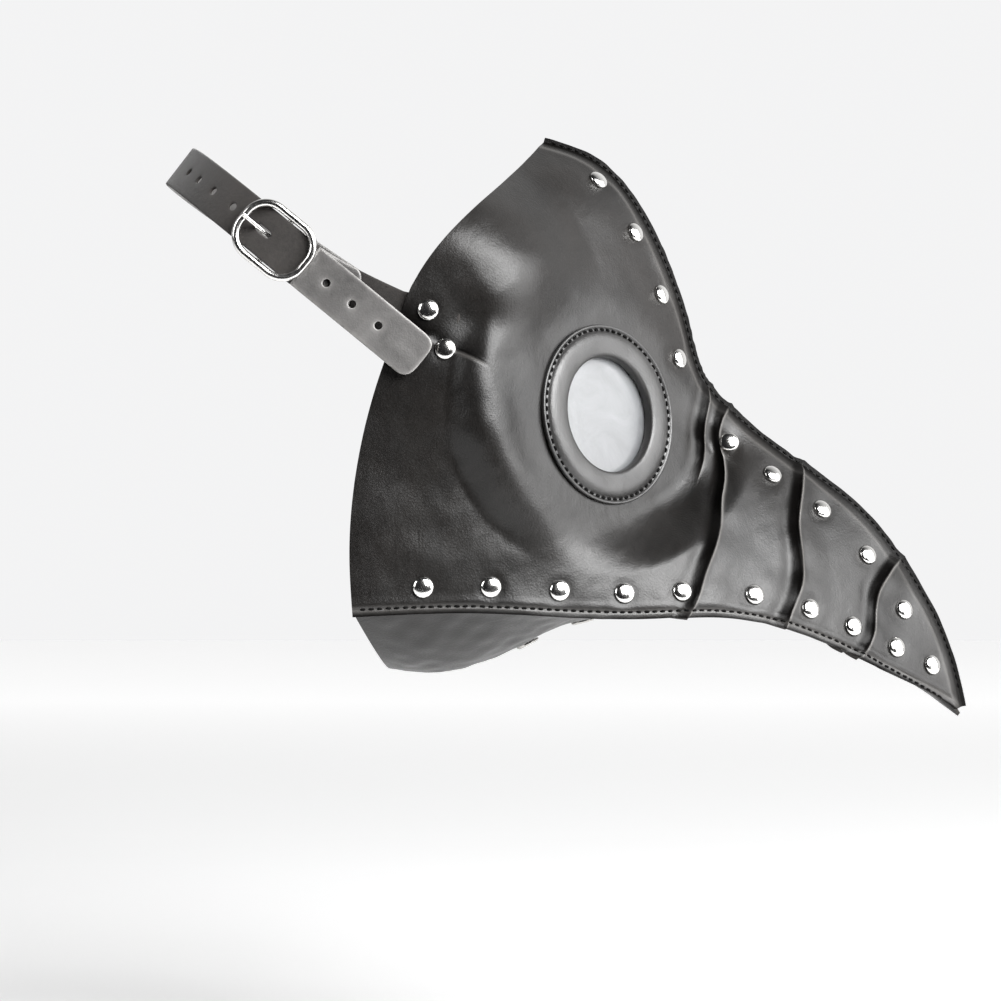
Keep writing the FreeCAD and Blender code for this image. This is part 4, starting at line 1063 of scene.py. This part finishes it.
def flat_strap(name, outline, holes, lay, step, body, seed, replaces):
    """A strap cut from leather: outline runs anticlockwise as (along, across); lay puts it in space."""
    rings = rings_inside(outline, EDGE_DEPTHS)
    hole_rings = [rings_inside(h, HOLE_GROWTH) for h in holes]
    points, edges = [], []
    for ring in rings + [ring for group in hole_rings for ring in group]:
        base = len(points)
        points.extend([tuple(p) for p in ring])
        edges.extend([(base + i, base + (i + 1) % len(ring)) for i in range(len(ring))])
    low, high = outline.min(axis=0), outline.max(axis=0)
    xs = np.arange(low[0] + step / 2, high[0], step)
    ys = np.linspace(low[1] + 2.2, high[1] - 2.2, 9)
    grid = np.stack(np.meshgrid(xs, ys, indexing="ij"), axis=-1).reshape(-1, 2)
    grid = grid[inside(grid, rings[-1])]
    for group in hole_rings:
        grid = grid[~inside(grid, rings_inside(group[-1], [-0.25])[0])]
    clear = np.min(np.linalg.norm(grid[:, None] - rings[-1][None], axis=2), axis=1)
    points.extend([tuple(p) for p in grid[clear > 0.35]])
    made = geometry.delaunay_2d_cdt([Vector(p) for p in points], edges, [], 1, 1e-5)
    verts = np.array([tuple(v) for v in made[0]])
    tris = np.array([tuple(f) for f in made[2] if len(f) == 3])
    middle = verts[tris].mean(axis=1)
    kept = inside(middle, outline)
    for hole in holes:
        kept &= ~inside(middle, hole)
    tris = tris[kept]
    distance = edge_distance(verts, outline)
    drop, shade = edge_height(distance), distance
    for hole in holes:
        near = edge_distance(verts, hole)
        drop = np.maximum(drop, edge_height(near, 0.45)) + 0.10 * bell(near, 1.2)
        shade = np.minimum(shade, near * 1.3)
    along, across = verts.T
    swell = 0.07 * waves(along, across * 0.6, seed, 21) + 0.04 * waves(along, across, seed + 1, 7)
    top, bottom = STRAP_T / 2 - drop + swell, drop - STRAP_T / 2
    place = np.concatenate([lay(along, across, top), lay(along, across, bottom)])
    n = len(verts)
    turned = [tuple(t) for t in tris.tolist()]
    under = [tuple(i + n for i in reversed(t)) for t in turned]
    pairs = {(t[k], t[k - 2]) for t in turned for k in range(3)}
    sides = [(b, a, a + n, b + n) for a, b in sorted(pairs) if (b, a) not in pairs]
    kinds = [0] * len(turned) + [1] * len(under) + [2] * len(sides)
    piece = mesh_piece(name, place, turned + under + sides, STRAP_MATS, body, replaces,
                       kinds, 60)
    # How close each point is to a cut edge or a hole's rim, for the material's lighter edges.
    shade_points(piece, "edge_lightening", np.exp(-np.concatenate([shade, shade]) / 0.55))
    return piece


def edge_distance(points, polygon):
    """Distance from each point to a closed polygon's edges."""
    best = np.full(len(points), 1e9)
    for a, b in zip(polygon, np.roll(polygon, -1, axis=0)):
        d = b - a
        t = np.clip(((points - a) @ d) / max(d @ d, 1e-12), 0, 1)
        best = np.minimum(best, np.linalg.norm(points - a - t[:, None] * d, axis=1))
    return best


def swept(path, widths, start=0.0):
    """What lays a strap along a path: its along is measured from the path's first point, plus start."""
    path, widths = np.asarray(path, float), np.asarray(widths, float)
    run = np.concatenate([[0.0], np.cumsum(np.linalg.norm(np.diff(path, axis=0), axis=1))]) + start
    tangent = np.gradient(path, axis=0)
    tangent /= np.linalg.norm(tangent, axis=1, keepdims=True)
    widths = widths - tangent * (widths * tangent).sum(axis=1, keepdims=True)
    widths /= np.linalg.norm(widths, axis=1, keepdims=True)
    normal = np.cross(tangent, widths)

    def lay(along, across, height):
        read = lambda values: np.stack([np.interp(along, run, values[:, c]) for c in range(3)], axis=1)
        extra = np.where(along > run[-1], along - run[-1], np.where(along < run[0], along - run[0], 0.0))
        middle = read(path) + read(tangent) * extra[:, None]
        return middle + read(widths) * np.asarray(across)[:, None] + read(normal) * np.asarray(height)[:, None]

    return lay, run


def strap_line(reach, y):
    share = smooth((y + TAIL_MID) / (TAIL_MID + STRAP_MID))
    slope = np.radians(TAIL_PITCH + (PLAIN_PITCH - TAIL_PITCH) * share)
    point = np.stack([-reach, y, REAR_RISE - (REAR_REACH - reach) * np.tan(slope)], axis=-1)
    return point, np.stack([np.sin(slope), np.zeros(slope.shape), np.cos(slope)], axis=-1)


def long_path():
    """From under the buckle's front rail, back past it, round behind the head, forward to the left rivet."""
    run = SPLIT + (STRAIGHT_REACH - BUCKLE_REACH) / math.cos(PITCH)
    d = SPLIT - np.arange(0, run, 0.75)
    reach = BUCKLE_REACH - d * math.cos(PITCH)
    y = -(TAIL_MID + over_bar(d))
    turn = np.radians(np.linspace(-90, 90, 181))
    bend_reach = STRAIGHT_REACH + (REAR_REACH - STRAIGHT_REACH) * np.cos(turn)
    rise = np.where(turn < 0, over_bar((BUCKLE_REACH - bend_reach) / math.cos(PITCH)), 0.0)
    side = np.where(turn < 0, TAIL_MID + rise, STRAP_MID)
    last = STRAIGHT_REACH * (1 - np.linspace(0, 1, 60)[1:])
    reach = np.concatenate([reach, bend_reach[1:], last])
    y = np.concatenate([y, (side * np.sin(turn))[1:], np.full(len(last), STRAP_MID)])
    return strap_line(reach, y)


def blunt_outline(start, end, blunt):
    """The plan of a strap's end, anticlockwise: square at start and blunt at end."""
    half, nose = STRAP_W / 2, STRAP_W / 2 * 0.92
    top = [(s, half) for s in np.arange(start, end - nose, 1.2)]
    for a in np.linspace(0, math.pi / 2, 26):
        top.append((end - nose + nose * math.sin(a) ** (2 / blunt), half * math.cos(a) ** (2 / blunt)))
    return np.array([(s, -w) for s, w in top] + top[-2::-1])


def tab_outline(start, at, off, r, corner=4.0):
    """A strap's plan, anticlockwise: square at start; at its end a round tab, off its middle, for a rivet."""
    half = STRAP_W / 2
    top, bottom = [], []
    for s in np.concatenate([np.arange(start, at - r - 6, 1.2), np.linspace(at - r - 6, at + r, 56)]):
        if s >= at + r - 0.01:
            top.append((s, off))
            continue
        arc = math.sqrt(max(r * r - (s - at) ** 2, 0.0))
        high, low = off + arc, off - arc
        if s <= at:
            high = max(half, high) if arc else half
            turn = max(s - (at - corner), 0.0)
            low = -half + corner - math.sqrt(corner ** 2 - turn ** 2)
        top.append((s, high))
        bottom.append((s, low))
    return np.array(bottom + top[::-1])


def punched(first, count):
    """The strap's round holes, along its middle."""
    return [circle((first + i * HOLE_PITCH, 0.0), 1.5) for i in range(count)]


lay, run = swept(*long_path())
holes = [slot_line(SPLIT + 2.2, SPLIT + 9.6, 1.5)] + punched(SPLIT + 22.0, 4)
flat_strap("head_strap_leather", tab_outline(0.0, run[-1], 6.4, 10.0), holes, lay, 1.3, "head_strap", 51,
           ["long_strap"])

d = np.linspace(SPLIT, TAIL_LENGTH, 160)
flare = 3.2 * smooth((d - TAIL_START) / 28.0)
lay, run = swept(near_buckle(d, TAIL_MID + over_bar(d) + flare), np.tile(UPWARD, (len(d), 1)), SPLIT)
tail = flat_strap("tail_leather", blunt_outline(SPLIT, run[-1], 3.9), punched(25.3, 3), lay, 1.3, None, 53,
                  ["strap_tail"])
hinge = near_buckle(np.array([TAIL_START - 0.15, TAIL_START + 9.0]), TAIL_MID)
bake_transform(tail)


# ---------------------------------------------------------------- buckle strap
BAR_FOOT = BAR * np.array([1.0, 0.0, 1.0])
STRAP_FOOT = np.array([0.0, 0.0, -6.6])
BEND_FOOT = BAR_FOOT + FORWARD * BUMP_REACH
STRAP_RUN = BUMP_REACH + np.linalg.norm(STRAP_FOOT - BEND_FOOT)
FOLD_END = STRAP_RUN - 18.5 / math.cos(PITCH)


def fold_point(d, level):
    if d <= BUMP_REACH:
        place, along = BAR_FOOT + FORWARD * d, FORWARD
    else:
        share = (d - BUMP_REACH) / (STRAP_RUN - BUMP_REACH)
        guide = BEND_FOOT + FORWARD * 14.0
        a = BEND_FOOT * (1 - share) + guide * share
        b = guide * (1 - share) + STRAP_FOOT * share
        place = a * (1 - share) + b * share
        along = (b - a) / np.linalg.norm(b - a)
    return np.array([place[0], -level, place[2]]), np.array([-along[2], 0.0, along[0]])


LEG_STEPS, TURN_STEPS = 90, 24


def fold_layout():
    """The strap's middle line: from its rivet to the buckle's bar, round it, and back over itself."""
    turn_r = 1.26 + STRAP_T / 2
    folded_mid = STRAP_OUT + 0.05 + STRAP_T / 2
    rise_share = (BAR_LEVEL + turn_r - folded_mid) / BAR_RISE
    layout = [fold_point(STRAP_RUN * (1 - i / LEG_STEPS), STRAP_MID) for i in range(LEG_STEPS)]
    for turn in np.arange(TURN_STEPS + 1) * math.pi / TURN_STEPS:
        back = FORWARD * (-turn_r * math.sin(turn))
        layout.append((BAR + back + np.array([0.0, turn_r * math.cos(turn), 0.0]), UPWARD))
    for i in range(1, LEG_STEPS + 1):
        d = FOLD_END * i / LEG_STEPS
        layout.append(fold_point(d, folded_mid + float(over_bar(np.array(d))) * rise_share))
    return np.array([p for p, _ in layout]), np.array([w for _, w in layout])


def folded_outline(end):
    """The plan of the buckle's strap, anticlockwise: a round tab, and small corners at the folded end."""
    half, corner = STRAP_W / 2, 4.0
    tab = [(-8.5, -1.5), (-9.9, 4.0), (-9.2, 9.6), (-6.0, 13.6), (-1.0, 15.8), (4.0, 14.6), (8.5, 11.0),
           (12.5, 9.3)]
    upper = [(s, half) for s in np.arange(14.0, end - corner - 0.2, 1.2)]
    turned = [(end - corner + corner * math.sin(a), half - corner + corner * math.cos(a))
              for a in np.linspace(0, math.pi / 2, 9)]
    back = [(s, -w) for s, w in reversed(turned)]
    under = [(s, -half) for s in np.arange(end - corner - 0.2, 0.5, -1.2)]
    start = [(-1.5 - 5.5 * math.sin(a), -half + 6 - 6 * math.cos(a)) for a in np.linspace(0, 1.1, 7)]
    return np.array([tuple(p) for p in spline(tab, 30)] + upper + turned + back + under + start)[::-1]


lay, run = swept(*fold_layout())
at_bar = run[LEG_STEPS + TURN_STEPS // 2]
bar_slot = slot_line(at_bar - 7.4, at_bar + 7.4, 1.6)
flat_strap("buckle_strap_leather", folded_outline(run[-1]), [bar_slot], lay, 1.2,
           "head_strap", 57, ["buckle_strap"])


# ---------------------------------------------------------------- CAD metal that stays
def keep(node, material):
    """A CAD node that stays gets a detailed material, smooth over its round faces."""
    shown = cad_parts[node]
    shown.data.materials.clear()
    shown.data.materials.append(material)
    shown.data.set_sharp_from_angle(angle=math.radians(35))


for backs in ("forehead_rivet_backs", "beak_rivet_backs", "lower_rivet_backs", "dart_rivet_back",
              "temple_rivet_back"):
    keep(backs + "_right", NICKEL)
    keep(backs + "_left", NICKEL)
for node, material in (("fold_rivet", NICKEL), ("buckle_frame", BUCKLE_METAL), ("buckle_prong", BUCKLE_METAL),
                       ("vent_eyelets", EYELET_METAL), ("vent_washers", EYELET_METAL)):
    keep(node, material)


# ---------------------------------------------------------------- stage, light and camera
GLOW = 0.59                   # light from the far floor, so that it runs into the backdrop
FLOOR_LEVEL, FLOOR_NEAR, FLOOR_FAR = -0.300, -0.45, 4.0
MIDDLE = Vector((0.05, 0.0, -0.03))


def floor_material():
    s = Shader("pale_floor", Specular_IOR_Level=0.1, Emission_Color=(1.0, 1.0, 1.0, 1.0))
    grain = s.noise(3.0, 3.0, 0.5)
    away = s.node("SeparateXYZ", "Y", Vector=s.place)
    return s.use(Base_Color=s.ramp(grain, [(0.3, (0.788,) * 3), (0.7, (0.80,) * 3)]),
                 Roughness=s.span(grain, 0.2, 0.8, 0.65, 0.75),
                 Emission_Strength=s.span(away, 0.2, 2.4, 0.0, GLOW))


floor_mesh = bpy.data.meshes.new("floor")
floor_mesh.from_pydata([(-4.0, FLOOR_NEAR, FLOOR_LEVEL), (4.0, FLOOR_NEAR, FLOOR_LEVEL),
                        (4.0, FLOOR_FAR, FLOOR_LEVEL), (-4.0, FLOOR_FAR, FLOOR_LEVEL)], [], [(0, 1, 2, 3)])
floor_mesh.materials.append(floor_material())
floor = bpy.data.objects.new("floor", floor_mesh)
bpy.context.scene.collection.objects.link(floor)


def softbox(name, place, size, power):
    lamp = bpy.data.lights.new(name, "AREA")
    lamp.shape = "RECTANGLE"
    lamp.size, lamp.size_y = size
    lamp.energy = power
    made = bpy.data.objects.new(name, lamp)
    made.location = place
    made.rotation_euler = (MIDDLE - Vector(place)).to_track_quat("-Z", "Y").to_euler()
    bpy.context.scene.collection.objects.link(made)


softbox("key_front", (0.95, -1.10, 0.72), (1.2, 1.1), 64)
softbox("side_right", (1.55, -0.48, 0.38), (1.2, 1.4), 30)
softbox("rear_left", (-1.3, -0.75, 0.55), (0.6, 0.9), 11)


def build_world():
    """A white backdrop behind and beside the object, and a dim room in front of it."""
    world = bpy.data.worlds.new("studio")
    bpy.context.scene.world = world
    world.use_nodes = True
    w = Nodes(world.node_tree)
    w.nodes.clear()
    direction = w.node("TexCoord", "Generated")
    right, away = (w.node("SeparateXYZ", axis, Vector=direction) for axis in "XY")
    lean = w.math("MULTIPLY_ADD", right, 0.35, away)
    room = w.ramp(w.span(lean, -0.10, 0.75), [(0.0, (0.012, 0.012, 0.013)), (1.0, (0.95, 0.95, 0.95))])
    lit = w.node("Background", "Background", Color=room, Strength=1.0)
    seen = w.node("Background", "Background", Color=(0.90, 0.90, 0.905, 1), Strength=1.0)
    both = w.nodes.new("ShaderNodeMixShader")
    for value, socket in zip((w.node("LightPath", "Is Camera Ray"), lit, seen), both.inputs):
        w.connect(value, socket)
    w.fill(w.nodes.new("ShaderNodeOutputWorld"), {"Surface": both.outputs[0]})


build_world()
bpy.context.scene.view_settings.view_transform = "Standard"

camera = bpy.data.objects.new("camera", bpy.data.cameras.new("camera"))
camera.data.lens, camera.data.sensor_width, camera.data.clip_end = 116.9, 36.0, 30.0
camera.location = (0.0272, -1.3, -0.0715)
camera.rotation_euler = (math.radians(90), 0.0, 0.0)
bpy.context.scene.collection.objects.link(camera)
bpy.context.scene.camera = camera
